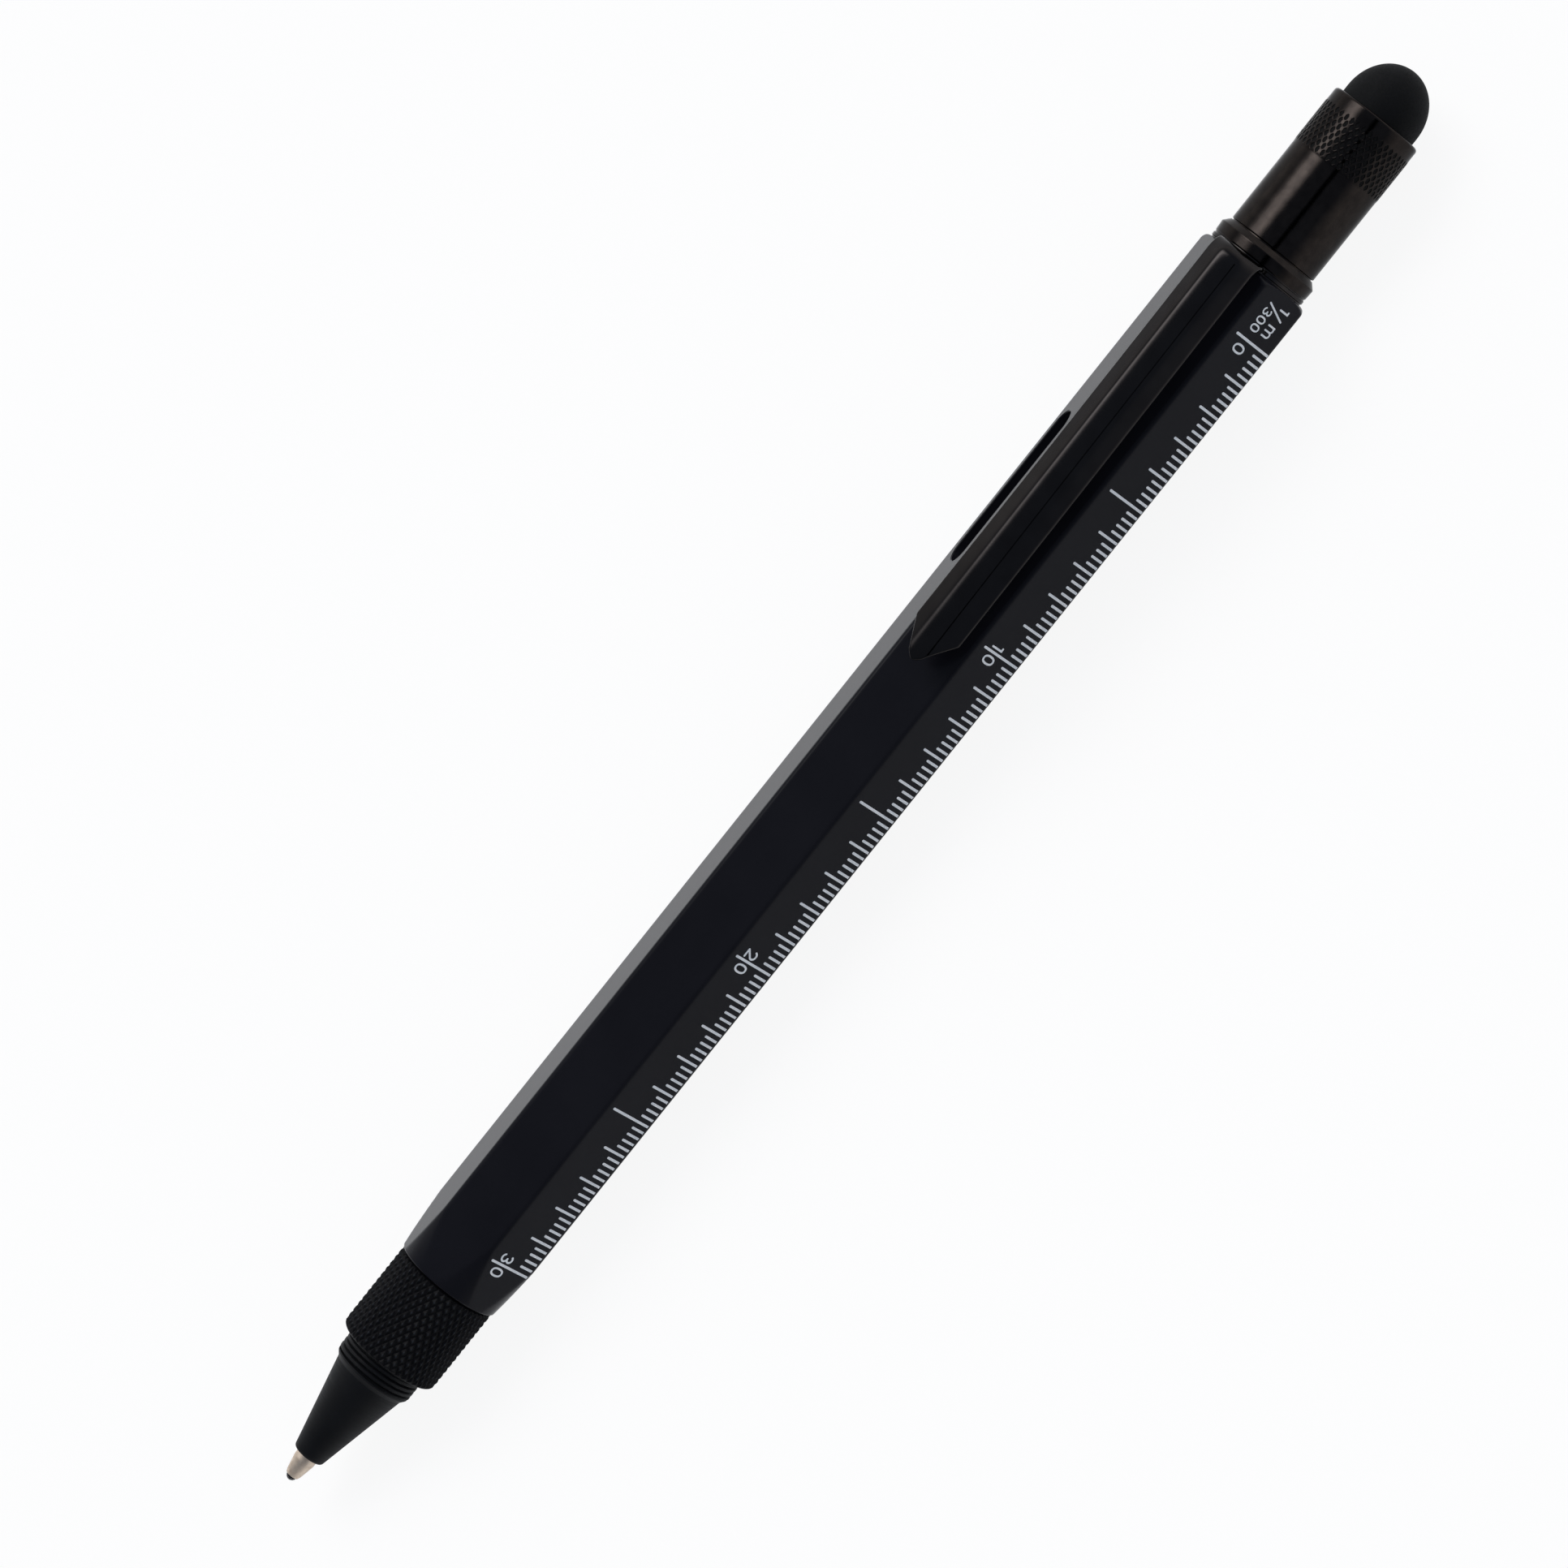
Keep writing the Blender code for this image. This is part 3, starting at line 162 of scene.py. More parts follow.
def rounded(points, radii):
    """An outline of (x, radius) points with an arc of the given radius in each corner that has one.

    Each arc runs between the two points at r / tan(half the corner) from it, and its points are the
    centre plus r times the unit vectors that sweep evenly from the first side's normal to the next.
    A point on each side, a 50th of its length from the arc, keeps the straight stretch evenly lit.
    """
    outline, steps = [], 6
    for k, corner in enumerate(np.asarray(points, float)):
        r = radii.get(k, 0)
        if not r:
            outline.append(corner)
            continue
        sides = [np.asarray(points[(k + step) % len(points)], float) - corner for step in (-1, 1)]
        a, b = (side / np.linalg.norm(side) for side in sides)
        half = math.acos(np.clip(a @ b, -1, 1)) / 2
        centre = corner + (a + b) / np.linalg.norm(a + b) * r / math.sin(half)
        first, last = corner + a * r / math.tan(half) - centre, corner + b * r / math.tan(half) - centre
        sweep = math.pi - 2 * half
        share = np.linspace(0, 1, steps + 1)[:, None]
        arc = (np.sin((1 - share) * sweep) * first + np.sin(share * sweep) * last) / math.sin(sweep)
        outline.append(centre + first + sides[0] / 50)
        outline.extend(centre + arc)
        outline.append(centre + last + sides[1] / 50)
    return np.array(outline)


def turned(x0, outline, sides):
    """A ring: a closed outline of (x, radius) points turned about the pen's axis."""
    outline = np.asarray(outline, float)
    radius = np.broadcast_to(outline[:, 1:], (len(outline), sides))
    return shell(wrapped(x0 + outline[:, 0], radius, around(sides)), loop=True)


def lathe(name, x0, outline, sides=128):
    """One turned ring as an object."""
    return build(name, [turned(x0, outline, sides)])


def tube(name, x, outer, angles, inside, sharp=SHARP):
    """A tube whose outside has a radius for every row and angle, and whose inside is turned.

    inside is a list of (x, radius) points that runs back to the first row's end.
    """
    inside = np.asarray(inside, float)
    inner = np.broadcast_to(inside[:, 1:], (len(inside), len(angles)))
    grid = wrapped(np.concatenate([x, inside[:, 0]]), np.vstack([outer, inner]), angles)
    return build(name, [shell(grid, loop=True)], sharp)


def smooth_least(a, b, width):
    """The smaller of two values, with the crossing rounded over a width."""
    return (a + b - np.sqrt((a - b) ** 2 + width ** 2)) / 2


def ramp(value, low, high):
    """0 below low, 1 above high, and an even S curve between."""
    share = np.clip((value - low) / (high - low), 0, 1)
    return share * share * (3 - 2 * share)


# Pieces

FLAT_EDGE = math.atan(CORNER_X / 2 / HALF_FLATS)


def hex_angles():
    """Angles that step evenly over each flat's width, and closer round each corner."""
    flat = np.arctan(np.linspace(-math.tan(FLAT_EDGE), math.tan(FLAT_EDGE), 27))
    corner = np.linspace(FLAT_EDGE, math.pi / 3 - FLAT_EDGE, 7)[1:-1]
    face = np.concatenate([flat, corner])
    return np.concatenate([face + math.pi / 6 + math.pi / 3 * k for k in range(6)])


def hex_radius(angles):
    """Distance from the axis to a rounded hexagon.

    Over a flat it is half the width across flats divided by the cosine of the angle from the flat's
    middle. Near a corner it is where the ray meets the corner's circle.
    """
    from_flat = np.abs((angles + math.pi * 2) % (math.pi / 3) - math.pi / 6)
    from_corner = math.pi / 6 - from_flat
    reach = CORNER_X * np.sin(from_corner)
    arc = CORNER_X * np.cos(from_corner) + np.sqrt(np.maximum(CORNER_ROUND ** 2 - reach ** 2, 0))
    return np.where(from_flat < FLAT_EDGE, HALF_FLATS / np.cos(from_flat), arc)


def make_barrel():
    """Hexagonal tube: the radius is the least of the hexagon's and of a turned envelope's.

    The envelope is a cone at the front, whose cut through the flats leaves the scallops, and a
    quarter round at the back. The bore comes back inside, and the window is cut through one flat.
    """
    angles, step, back_r, chamfer = hex_angles(), 0.06, 1.0, 0.1
    quarter = np.linspace(0, math.pi / 2, 13)
    scallops = np.arange(2 * step, 5.6, step)
    x = np.concatenate([[0, step], scallops, [8, 30, 60, 90, BARREL_LENGTH - 1.2],
                        BARREL_LENGTH - back_r + back_r * np.sin(quarter)])
    front = MOUTH_R + math.tan(TAPER) * x[:-len(quarter)]
    front[0] = MOUTH_R - 0.05
    back = CORNER_X + CORNER_ROUND + 0.1 - back_r * (1 - np.cos(quarter))
    envelope = np.concatenate([front, back])
    outer = smooth_least(hex_radius(angles)[None, :], envelope[:, None], 0.03)
    inside = [(BARREL_LENGTH, BORE_R + chamfer), (BARREL_LENGTH - chamfer, BORE_R), (SEAT_END, BORE_R),
              (SEAT_END, SEAT_R), (0, SEAT_R)]
    inside = [(X_BARREL + along, r) for along, r in inside]
    barrel = tube("barrel_hexagon", X_BARREL + x, outer, angles, inside)
    carve(barrel, make_window_cutter())
    return barrel


def make_window_cutter():
    """A slot with round ends that widens over the last 0.08 mm, square to the window's flat.

    Each point is half the slot's straight length along it plus a circle's cosine and sine.
    """
    turn, bevel = around(64), 0.08
    side = np.where(np.cos(turn) >= 0, WINDOW_HALF, -WINDOW_HALF)
    depth = np.array([BORE_R - 1.2, HALF_FLATS - bevel, HALF_FLATS, HALF_FLATS + 1])[:, None]
    radius = WINDOW_R + np.array([0, 0, bevel, 1 + bevel])[:, None]
    along, across = side + radius * np.cos(turn), WINDOW_SHIFT + radius * np.sin(turn)
    normal, tangent = (math.cos(math.pi / 6), 0.5), (-0.5, math.cos(math.pi / 6))
    grid = np.stack([X_WINDOW + along, depth * normal[0] + across * tangent[0],
                     AXIS_Z + depth * normal[1] + across * tangent[1]], -1)
    return build("window_cutter", [shell(grid)])


# Clip: where its arm starts and its bend begins, the bend's radius, the foot's height over the axis
# and the sheet's thickness; then its crest's and its edge's height over the axis at the tip and at
# the bend, its half width there, and the middle plate's half width
CLIP_TIP, CLIP_BEND, CLIP_R, CLIP_FOOT, CLIP_SHEET = 12.89, 54.68, 1.40, 5.00, 0.40
CREST_TIP, CREST_BEND, EDGE_TIP, EDGE_BEND = 7.93, 8.97, 7.13, 7.84
HALF_TIP, HALF_BEND, HALF_PLATE = 2.43, 2.33, 0.87
ARC_LENGTH = CLIP_R * math.pi / 2
WALL_LENGTH = CREST_BEND - CLIP_R - CLIP_FOOT


def arm_share(along):
    """How far along the arm a place lies: 0 one mm before its tip, 1 from the bend on."""
    return np.clip((along - CLIP_TIP + 1) / (CLIP_BEND - CLIP_TIP + 1), 0, 1)


def clip_face(along, across):
    """A point on the clip's outer face: distance along its strip, and across it from the middle.

    Along the arm the middle plate rises evenly and the two flanges fall away from it past the folds,
    as slope times a rounded step, which the bend makes rounder. Round the bend the strip follows a
    quarter circle, and down the back wall the fall fades out.
    """
    share = arm_share(along)
    crest = CREST_TIP + (CREST_BEND - CREST_TIP) * share
    edge = EDGE_TIP + (EDGE_BEND - EDGE_TIP) * share ** 2
    half = HALF_TIP + (HALF_BEND - HALF_TIP) * share
    angle = np.clip((along - CLIP_BEND) / CLIP_R, 0, math.pi / 2)
    down = np.clip(along - CLIP_BEND - ARC_LENGTH, 0, None)
    soft = 0.20 + 0.2 * ramp(along, CLIP_BEND - 0.9, CLIP_BEND + 1.4)
    past = np.abs(across) - HALF_PLATE
    fall = (crest - edge) / (half - HALF_PLATE) * (past + np.sqrt(past ** 2 + soft ** 2)) / 2
    fall = fall * (1 - down / WALL_LENGTH)
    x = np.minimum(along, CLIP_BEND) + CLIP_R * np.sin(angle)
    z = AXIS_Z + crest - CLIP_R * (1 - np.cos(angle)) - down - fall
    return np.stack(np.broadcast_arrays(x, across, z), -1)


def make_clip():
    """The folded strip: a rounded flat section carried along the arm, round the bend, down the wall.

    Each point lies on the outer face at its place across the strip, pushed in along the face's
    normal by its depth in the sheet. The strip's half width runs to a point at the tip, whose very
    end is rounded as a square root, and narrows by 0.35 mm below the bend. The section is two flats
    whose points stand closer towards the edges, with quarter circles at its four corners.
    """
    tip = np.concatenate([[0, 0.01, 0.04, 0.1, 0.2, 0.35, 0.55, 0.75], np.arange(1.0, 3.2, 0.3),
                          [3.25, 3.4]])
    bend_end = CLIP_BEND + ARC_LENGTH
    along = np.concatenate([CLIP_TIP + tip, np.linspace(CLIP_TIP + 4, CLIP_BEND - 2.5, 50),
                            np.linspace(CLIP_BEND - 2.2, CLIP_BEND, 8),
                            CLIP_BEND + np.linspace(0, ARC_LENGTH, 15)[1:],
                            bend_end + np.linspace(0, WALL_LENGTH, 7)[1:]])[:, None]
    from_tip = along - CLIP_TIP
    body = HALF_TIP + (HALF_BEND - HALF_TIP) * arm_share(along)
    body = body - 0.35 * ramp(along, bend_end - 0.3, bend_end + 1.0)
    pointed = np.interp(from_tip, [0, 0.75, 3.25, 3.26], [0.46, 0.90, 2.45, 9])
    blunt = 0.02 + 0.62 * np.sqrt(np.clip(from_tip / 0.5, 0, 1)) + 9 * ramp(from_tip, 0.3, 1.5)
    half = smooth_least(np.minimum(body, pointed), blunt, 0.02)
    round_r, quarter = 0.17, np.linspace(0, math.pi / 2, 5)
    inward, deeper = (np.sin(quarter) - 1) * round_r, (1 - np.cos(quarter)) * round_r
    flat = np.linspace(-1, 1, 45)[1:-1]
    flat = np.sign(flat) * np.abs(flat) ** 0.8
    edge, level = np.ones(2 * len(quarter)), np.zeros(len(flat))
    reach = np.concatenate([flat, edge, flat[::-1], -edge])
    inset = np.concatenate([level, inward, inward[::-1], level, -inward, -inward[::-1]])
    depth = np.concatenate([level, deeper, CLIP_SHEET - deeper[::-1],
                            level + CLIP_SHEET, CLIP_SHEET - deeper, deeper[::-1]])
    inner_half = np.maximum(half - round_r, 0.3 * half)
    edge_share = (half - inner_half) / round_r
    across = reach * np.where(np.abs(reach) < 1, inner_half, half) + inset * edge_share
    face, step = clip_face(along, across), 0.01
    side = clip_face(along, across + step) - clip_face(along, across - step)
    ahead = clip_face(along + step, across) - clip_face(along - step, across)
    normal = np.cross(ahead, side)
    normal /= np.linalg.norm(normal, axis=-1, keepdims=True)
    return build("clip_folded", [shell(face - normal * depth[None, :, None])], sharp=50)


def make_clip_ring():
    """Washer with a square tab: the rim's radius is the circle's, or the tab's where that is more.

    A low hub on both sides closes the narrow gaps to its neighbours, so that no light comes through.
    """
    angles = around(180)
    round_rim, tab_top, tab_half, bevel = 4.77, 4.90, 2.05, 0.06
    hub_r, hub_front, hub_back = 4.68, -0.094, CLIP_SHEET + 0.092
    tab = np.minimum(tab_top / np.maximum(np.sin(angles), 0.01),
                     tab_half / np.maximum(np.abs(np.cos(angles)), 0.01))
    rim = np.where(np.sin(angles) > 0.3, np.maximum(round_rim, tab), round_rim)
    bore, hub = np.full(len(angles), BORE_R), np.full(len(angles), hub_r)
    radius = np.array([bore, hub, hub, rim - bevel, rim, rim, rim - bevel, hub, hub, bore])
    x = np.array([hub_front, hub_front, 0, 0, bevel, CLIP_SHEET - bevel, CLIP_SHEET, CLIP_SHEET,
                  hub_back, hub_back])
    return build("clip_washer", [shell(wrapped(X_CLIP + x, radius, angles), loop=True)])


def make_grip():
    """Knurled ring: raised diamonds on a lattice of two crossing counters, cut round at the front.

    The counters are the place along the pen over the diamond's length plus and minus the turn over
    one 46th. Each point's height is one less twice the larger of the two distances to a whole
    number, cut flat above 0.85 and raised to the power 1.3: a pyramid with hollow sides and a small
    flat. The turned front edge, a quarter of an ellipse, cuts what stands above it.
    """
    count, length, crest, root, peak_cut = 46, 1.27, 4.78, 4.60, 0.85
    front, edge_length, edge_r, chamfer_start = 0.9, 0.55, 4.10, 8.38
    angles = around(count * 12)
    x = np.concatenate([np.linspace(0, front, 19), front + np.arange(1, 119) * length / 20,
                        [8.44, 8.50]])
    along, turn = ((x - front) / length)[:, None], (angles / TURN * count)[None, :]
    first, second = along + turn, along - turn
    offset = np.maximum(np.abs(first - np.round(first)), np.abs(second - np.round(second)))
    peak = (np.minimum(1 - 2 * offset, peak_cut) / peak_cut) ** 1.3
    swing = np.arccos(np.clip(1 - x / edge_length, 0, 1))
    turned_edge = edge_r + (crest - edge_r) * np.sin(swing)
    chamfer = crest - 0.25 - (x - chamfer_start)
    limit = np.where(x > chamfer_start, chamfer, turned_edge)[:, None]
    radius = np.minimum(root + (crest - root) * peak, limit)
    inside = [(8.5, 4.35), (8.592, 4.35), (8.592, 2.8), (5.5, 2.8), (5.5, 3.86), (0, 3.86)]
    inside = [(X_GRIP + along, r) for along, r in inside]
    return tube("grip_knurled", X_GRIP + x, radius, angles, inside, KNURL_SHARP)


def make_sleeve():
    """Cap tube with a band of sunk diamonds in a raised net.

    Two crossing counters give the lattice, as on the grip. A point's distance from a diamond's
    middle is the cube root of the sum of its two distances' cubes, so each pit is a rounded diamond.
    It is sunk whole within 0.27 of a cell and not at all beyond 0.36. Only the eight columns of
    whole diamonds are sunk, and the band swells by 0.03 mm over its ends' 0.4 mm. The tube's rear
    edge is a quarter round.
    """
    count, pitch, base, band_start, band_end = 44, 0.504, 4.285, 8.15, 12.686
    length, rim_r, swell_length, sunk, first_column = 13.8, 0.3, 0.4, 0.3, 0.5
    angles = around(count * 14)
    quarter = np.linspace(0, math.pi / 2, 8)
    x = np.concatenate([[0, 0.08, 0.12, 0.3, 4, 8.0, band_start - 0.1, band_start - 0.02],
                        np.arange(108) * pitch / 12 + band_start,
                        [band_end + 0.03, band_end + 0.1, length - rim_r - 0.1],
                        length - rim_r + rim_r * np.sin(quarter)])
    along = ((x - band_start - first_column) / pitch)[:, None]
    turn = (angles / TURN * count)[None, :]
    first, second = along / 2 + turn, along / 2 - turn
    off_first, off_second = first - np.round(first), second - np.round(second)
    column = np.round(first) + np.round(second)
    offset = (np.abs(off_first) ** 3 + np.abs(off_second) ** 3) ** (1 / 3)
    pit = (1 - ramp(offset, 0.27, 0.36)) * (column > -0.5) * (column < 7.5)
    in_band = ((x >= band_start) & (x <= band_end))[:, None]
    swell = ramp(x, band_start, band_start + swell_length)
    swell = swell * (1 - ramp(x, band_end - swell_length, band_end))
    radius = base + 0.03 * swell[:, None] - sunk * pit * in_band
    radius[0] -= 0.08
    radius[-len(quarter):] -= rim_r * (1 - np.cos(quarter))[:, None]
    inside = [(length, 3.9), (length - 0.1, 3.8), (0, 3.8)]
    inside = [(X_SLEEVE + along, r) for along, r in inside]
    return tube("sleeve_knurled", X_SLEEVE + x, radius, angles, inside, KNURL_SHARP)


def make_pit_shade_floor():
    """Dull black ring inside the sleeve's band, 0.04 mm below its net: the bottoms of the pits, a painted
    shade that darkens them.
    """
    return lathe("band_painted_shade_floor", X_SLEEVE, [(8.3, 4.0), (8.3, 4.272), (12.5, 4.272), (12.5, 4.0)])


def thread(x, angles, depth, start, stop):
    """Depth below the crest of a helical V thread of 0.5 mm pitch.

    It is the distance to the nearest crest of a wave that climbs one pitch a turn, less a flat that
    takes half of the crest, and it fades in and out over 0.4 mm at the two ends.
    """
    pitch, first_crest, flat = 0.5, 0.18, 0.5
    phase = x[:, None] / pitch - angles[None, :] / TURN - first_crest
    groove = np.clip(np.abs(phase - np.round(phase)) * 2 - flat, 0, None) / (1 - flat)
    faded = ramp(x, start - 0.3, start + 0.1) * (1 - ramp(x, stop - 0.1, stop + 0.3))
    return depth * groove * faded[:, None]


def make_threaded_bush():
    """Bush between the cone and the grip: a turned outline less a fine thread's depth."""
    angles, pilot, pilot_r, crest, length, bore_r = around(96), 2.3, 2.2, 3.76, 9.55, 1.5
    front = [(0, 2.05), (0.1, pilot_r), (pilot + 0.005, pilot_r), (pilot + 0.008, crest - 0.28)]
    threaded = [(along, crest) for along in np.arange(2.36, 4.4, 0.025)]
    back = [(6, crest), (9.4, crest), (9.45, crest), (length, crest - 0.25)]
    x, radius = np.array(front + threaded + back).T
    radius = radius[:, None] - thread(x, angles, 0.26, 2.2, 3.85)
    x_bush = X_THREAD - pilot
    inside = [(x_bush + length, bore_r), (x_bush, bore_r)]
    return tube("bush_threaded", x_bush + x, radius, angles, inside)


def make_cone():
    """Turned nose cone: a straight taper, a short flare to the rim, hollow inside."""
    outline = [(0.2, 1.08), (0.2, 1.44), (8.9, 3.36), (9.35, 3.70), (9.5, 3.70), (9.5, 2.3), (7.1, 2.3),
               (7.1, 1.5), (1.4, 1.5), (1.4, 1.08)]
    return lathe("cone_turned", X_CONE, rounded(outline, {0: 0.08, 1: 0.34, 2: 0.25, 3: 0.12}))


def make_point():
    """Writing point: lip round the ball, neck, cone and shank with its collar, drilled through."""
    outline = [(0.47, 0.54), (0.47, 0.60), (0.66, 0.66), (0.70, 0.70), (2.16, 1.0), (4.96, 1.0),
               (4.96, 1.075), (5.26, 1.075), (5.26, 0.8), (7.36, 0.8), (7.36, 0.25), (1.04, 0.25),
               (1.04, 0.54)]
    return lathe("point_turned", X_TIP, rounded(outline, {1: 0.05, 4: 1.2, 5: 0.03, 6: 0.03}), 96)


def make_flange_bush():
    """Rear bush: stem, flange and threaded spigot, with a hexagonal socket sunk in it from behind.

    The outer rows are circles, less the thread's depth, and the inner ones a hexagon, whose radius is
    half its width across flats over the cosine of the angle from the nearest flat.
    """
    angles, spigot_r, chamfer, socket_half = around(144), 3.1, 0.1, 2.05
    flange = X_FLANGE - X_STEM
    back = flange + 4.56
    outline = rounded([(0, 2.1), (0, 3.2), (flange, 3.2), (flange, 4.70), (flange + 0.1, 4.76),
                       (flange + 1.01, 4.81), (flange + 1.56, 4.30), (flange + 1.56, 4.12),
                       (flange + 1.652, 4.12), (flange + 1.652, spigot_r)],
                      {3: 0.03, 4: 0.08, 5: 0.16, 6: 0.06})
    spigot = np.arange(flange + 1.7, back - chamfer, 0.05)
    x = np.concatenate([outline[:, 0], spigot, [back]])
    radius = np.concatenate([outline[:, 1], np.full(len(spigot), spigot_r), [spigot_r - 0.25]])[:, None]
    radius = radius - thread(x, angles, 0.22, flange + 2.0, flange + 4.3)
    socket = socket_half / np.cos((angles + math.pi / 3) % (math.pi / 3) - math.pi / 6)
    pocket = np.full(len(angles), 2.1)
    radius = np.vstack([radius, socket + chamfer, socket, socket, pocket, pocket])
    x = np.concatenate([x, [back, back - chamfer, 2.6, 2.6, 0]])
    return build("bush_flanged", [shell(wrapped(X_STEM + x, radius, angles), loop=True)])


def make_dome():
    """Hollow rubber dome: a straight skirt and half an ellipse, inside as outside."""
    swing = np.linspace(0, math.pi / 2, 25)[:-1]
    high, wide, wall = 4.20, 3.65, 0.85
    centre = X_END - X_DOME - high
    outer = np.stack([centre + high * np.sin(swing), wide * np.cos(swing)], -1)
    inner = np.stack([centre + (high - wall) * np.sin(swing), (wide - wall) * np.cos(swing)], -1)
    pole = [(centre + high, 0.05), (centre + high - wall, 0.04)]
    outline = np.vstack([[(0, wide - 0.05), (0.06, wide)], outer, pole, inner[::-1], [(0, wide - wall)]])
    return lathe("dome_rubber", X_DOME, outline, 112)


def make_vial():
    """Clear level vial: a plain tube with rounded ends."""
    outline = [(0, 1.9), (0, VIAL_R), (VIAL_LENGTH, VIAL_R), (VIAL_LENGTH, 1.9)]
    return lathe("vial_tube", X_VIAL, rounded(outline, {1: 0.2, 2: 0.2}), 64)


def make_index_rings():
    """Two dark lines round the vial, one at each end of the bubble."""
    half, low, high, bubble_end = 0.12, VIAL_R + 0.002, VIAL_R + 0.02, 3.1
    ring = [(-half, low), (-half, high), (half, high), (half, low)]
    return build("vial_lines", [turned(X_WINDOW + end, ring, 64) for end in (-bubble_end, bubble_end)])


# Printed scale

def on_scale_face(x, e, lift):
    """A point on the scale's flat: x along the pen, e from its middle towards the lower edge, and a
    lift off it. Past the flat's edge the point follows the round of the corner."""
    past = np.clip(e - CORNER_X / 2, 0, CORNER_ROUND)
    out = HALF_FLATS + lift - (CORNER_ROUND - np.sqrt(CORNER_ROUND ** 2 - past ** 2))
    slant = math.cos(math.pi / 6)
    return np.stack([x, -slant * out - 0.5 * e, AXIS_Z + 0.5 * out - slant * e], -1)


def stroke(path, width, x, e, lift, loop=False, first_round=True):
    """A thin raised line on the scale's flat along a path of (right, up) points about (x, e).

    The line's two sides stand half a width from the path, square to it, and its ends are half
    circles. Right is towards the tip, where the numbers grow.
    """
    path = np.asarray(path, float)
    step = np.gradient(path, axis=0)
    if loop:
        step = np.roll(path, -1, 0) - np.roll(path, 1, 0)
    step /= np.linalg.norm(step, axis=1, keepdims=True)
    half = np.full(len(path), width / 2)
    if not loop:
        swing = np.radians([82, 60, 40, 20])[:, None]
        count = len(swing)
        last = path[-1] + step[-1] * width / 2 * np.sin(swing[::-1])
        path, step = np.vstack([path, last]), np.vstack([step, np.repeat(step[-1:], count, 0)])
        half = np.concatenate([half, width / 2 * np.cos(swing[::-1, 0])])
        if first_round:
            first = path[0] - step[0] * width / 2 * np.sin(swing)
            path, step = np.vstack([first, path]), np.vstack([np.repeat(step[:1], count, 0), step])
            half = np.concatenate([width / 2 * np.cos(swing[:, 0]), half])
    side = np.stack([-step[:, 1], step[:, 0]], -1) * half[:, None]
    left, right = path + side, path - side
    corners = [(left, -0.01), (right, -0.01), (right, lift), (left, lift)]
    return shell(np.stack([on_scale_face(x - p[:, 0], e + p[:, 1], up) for p, up in corners], 1), loop)


def drift(x):
    """How far the print has strayed across the flat: 0.19 mm, evenly, over the scale's 100 mm."""
    return 0.0019 * (x - X_ZERO)


def make_ticks():
    """Ticks 0.235 mm wide, every fifth one longer and every 25th the longest.

    Each starts past the flat's lower edge, where its points follow the corner's round, and has a
    round end.
    """
    shells, width, short_end, fifth_end, longest_end = [], 0.235, 1.27, 0.16, -1.83
    for k in range(TICKS):
        x = X_ZERO - TICK_STEP * k
        end = longest_end if k % 25 == 0 else fifth_end if k % 5 == 0 else short_end
        up = np.array([2.66, 2.6, 2.52, 2.44, 2.38, 2.2, end]) + drift(x)
        path = np.stack([np.zeros(len(up)), up], -1)
        shells.append(stroke(path, width, x, 0, PRINT_LIFT, first_round=False))
    return build("scale_ticks", shells)


def bow(cx, cy, rx, ry, start, stop):
    """Points of an elliptic arc about (cx, cy), between two angles in degrees."""
    swing = np.radians(np.linspace(start, stop, 15))
    return np.stack([cx + rx * np.cos(swing), cy + ry * np.sin(swing)], -1)


def figure(kind, high):
    """The centre lines of one figure, as paths about its middle for a height of high.

    A nought is an upright oval with slightly squared shoulders: a circle's sine and cosine, each to
    the power 2 / 2.4. The others are straight runs and elliptic arcs joined end to end.
    """
    tall, wide = high / 2, high * 0.30
    if kind == "0":
        swing = around(36)
        power = 2 / 2.4
        return [np.stack([wide * np.sign(np.cos(swing)) * np.abs(np.cos(swing)) ** power,
                          tall * np.sign(np.sin(swing)) * np.abs(np.sin(swing)) ** power], -1)]
    if kind == "1":
        return [np.linspace((0, tall), (0, -tall), 6),
                np.linspace((-0.20 * high, tall - 0.03), (0, tall), 4)]
    if kind == "2":
        top = bow(0, tall - 0.28 * high, wide, 0.28 * high, 165, -28)
        return [np.vstack([top, np.linspace(top[-1], (-wide, -tall), 9)[1:]]),
                np.linspace((-wide, -tall), (wide, -tall), 5)]
    if kind == "3":
        upper = bow(0, tall - 0.235 * high, wide * 0.86, 0.235 * high, 150, -90)
        lower = bow(0, -tall + 0.265 * high, wide, 0.265 * high, 90, -155)
        return [upper, lower]
    if kind == "/":
        return [np.linspace((high * 0.17, tall), (-high * 0.17, -tall), 6)]
    stem, arch = high * 0.62, high * 0.31
    tops = {-1: tall, 0: tall - arch, 1: tall - arch}
    legs = [np.linspace((side * stem, top), (side * stem, -tall), 5) for side, top in tops.items()]
    return legs + [bow(side * arch, tall - arch, arch, arch, 180, 0) for side in (-1, 1)]


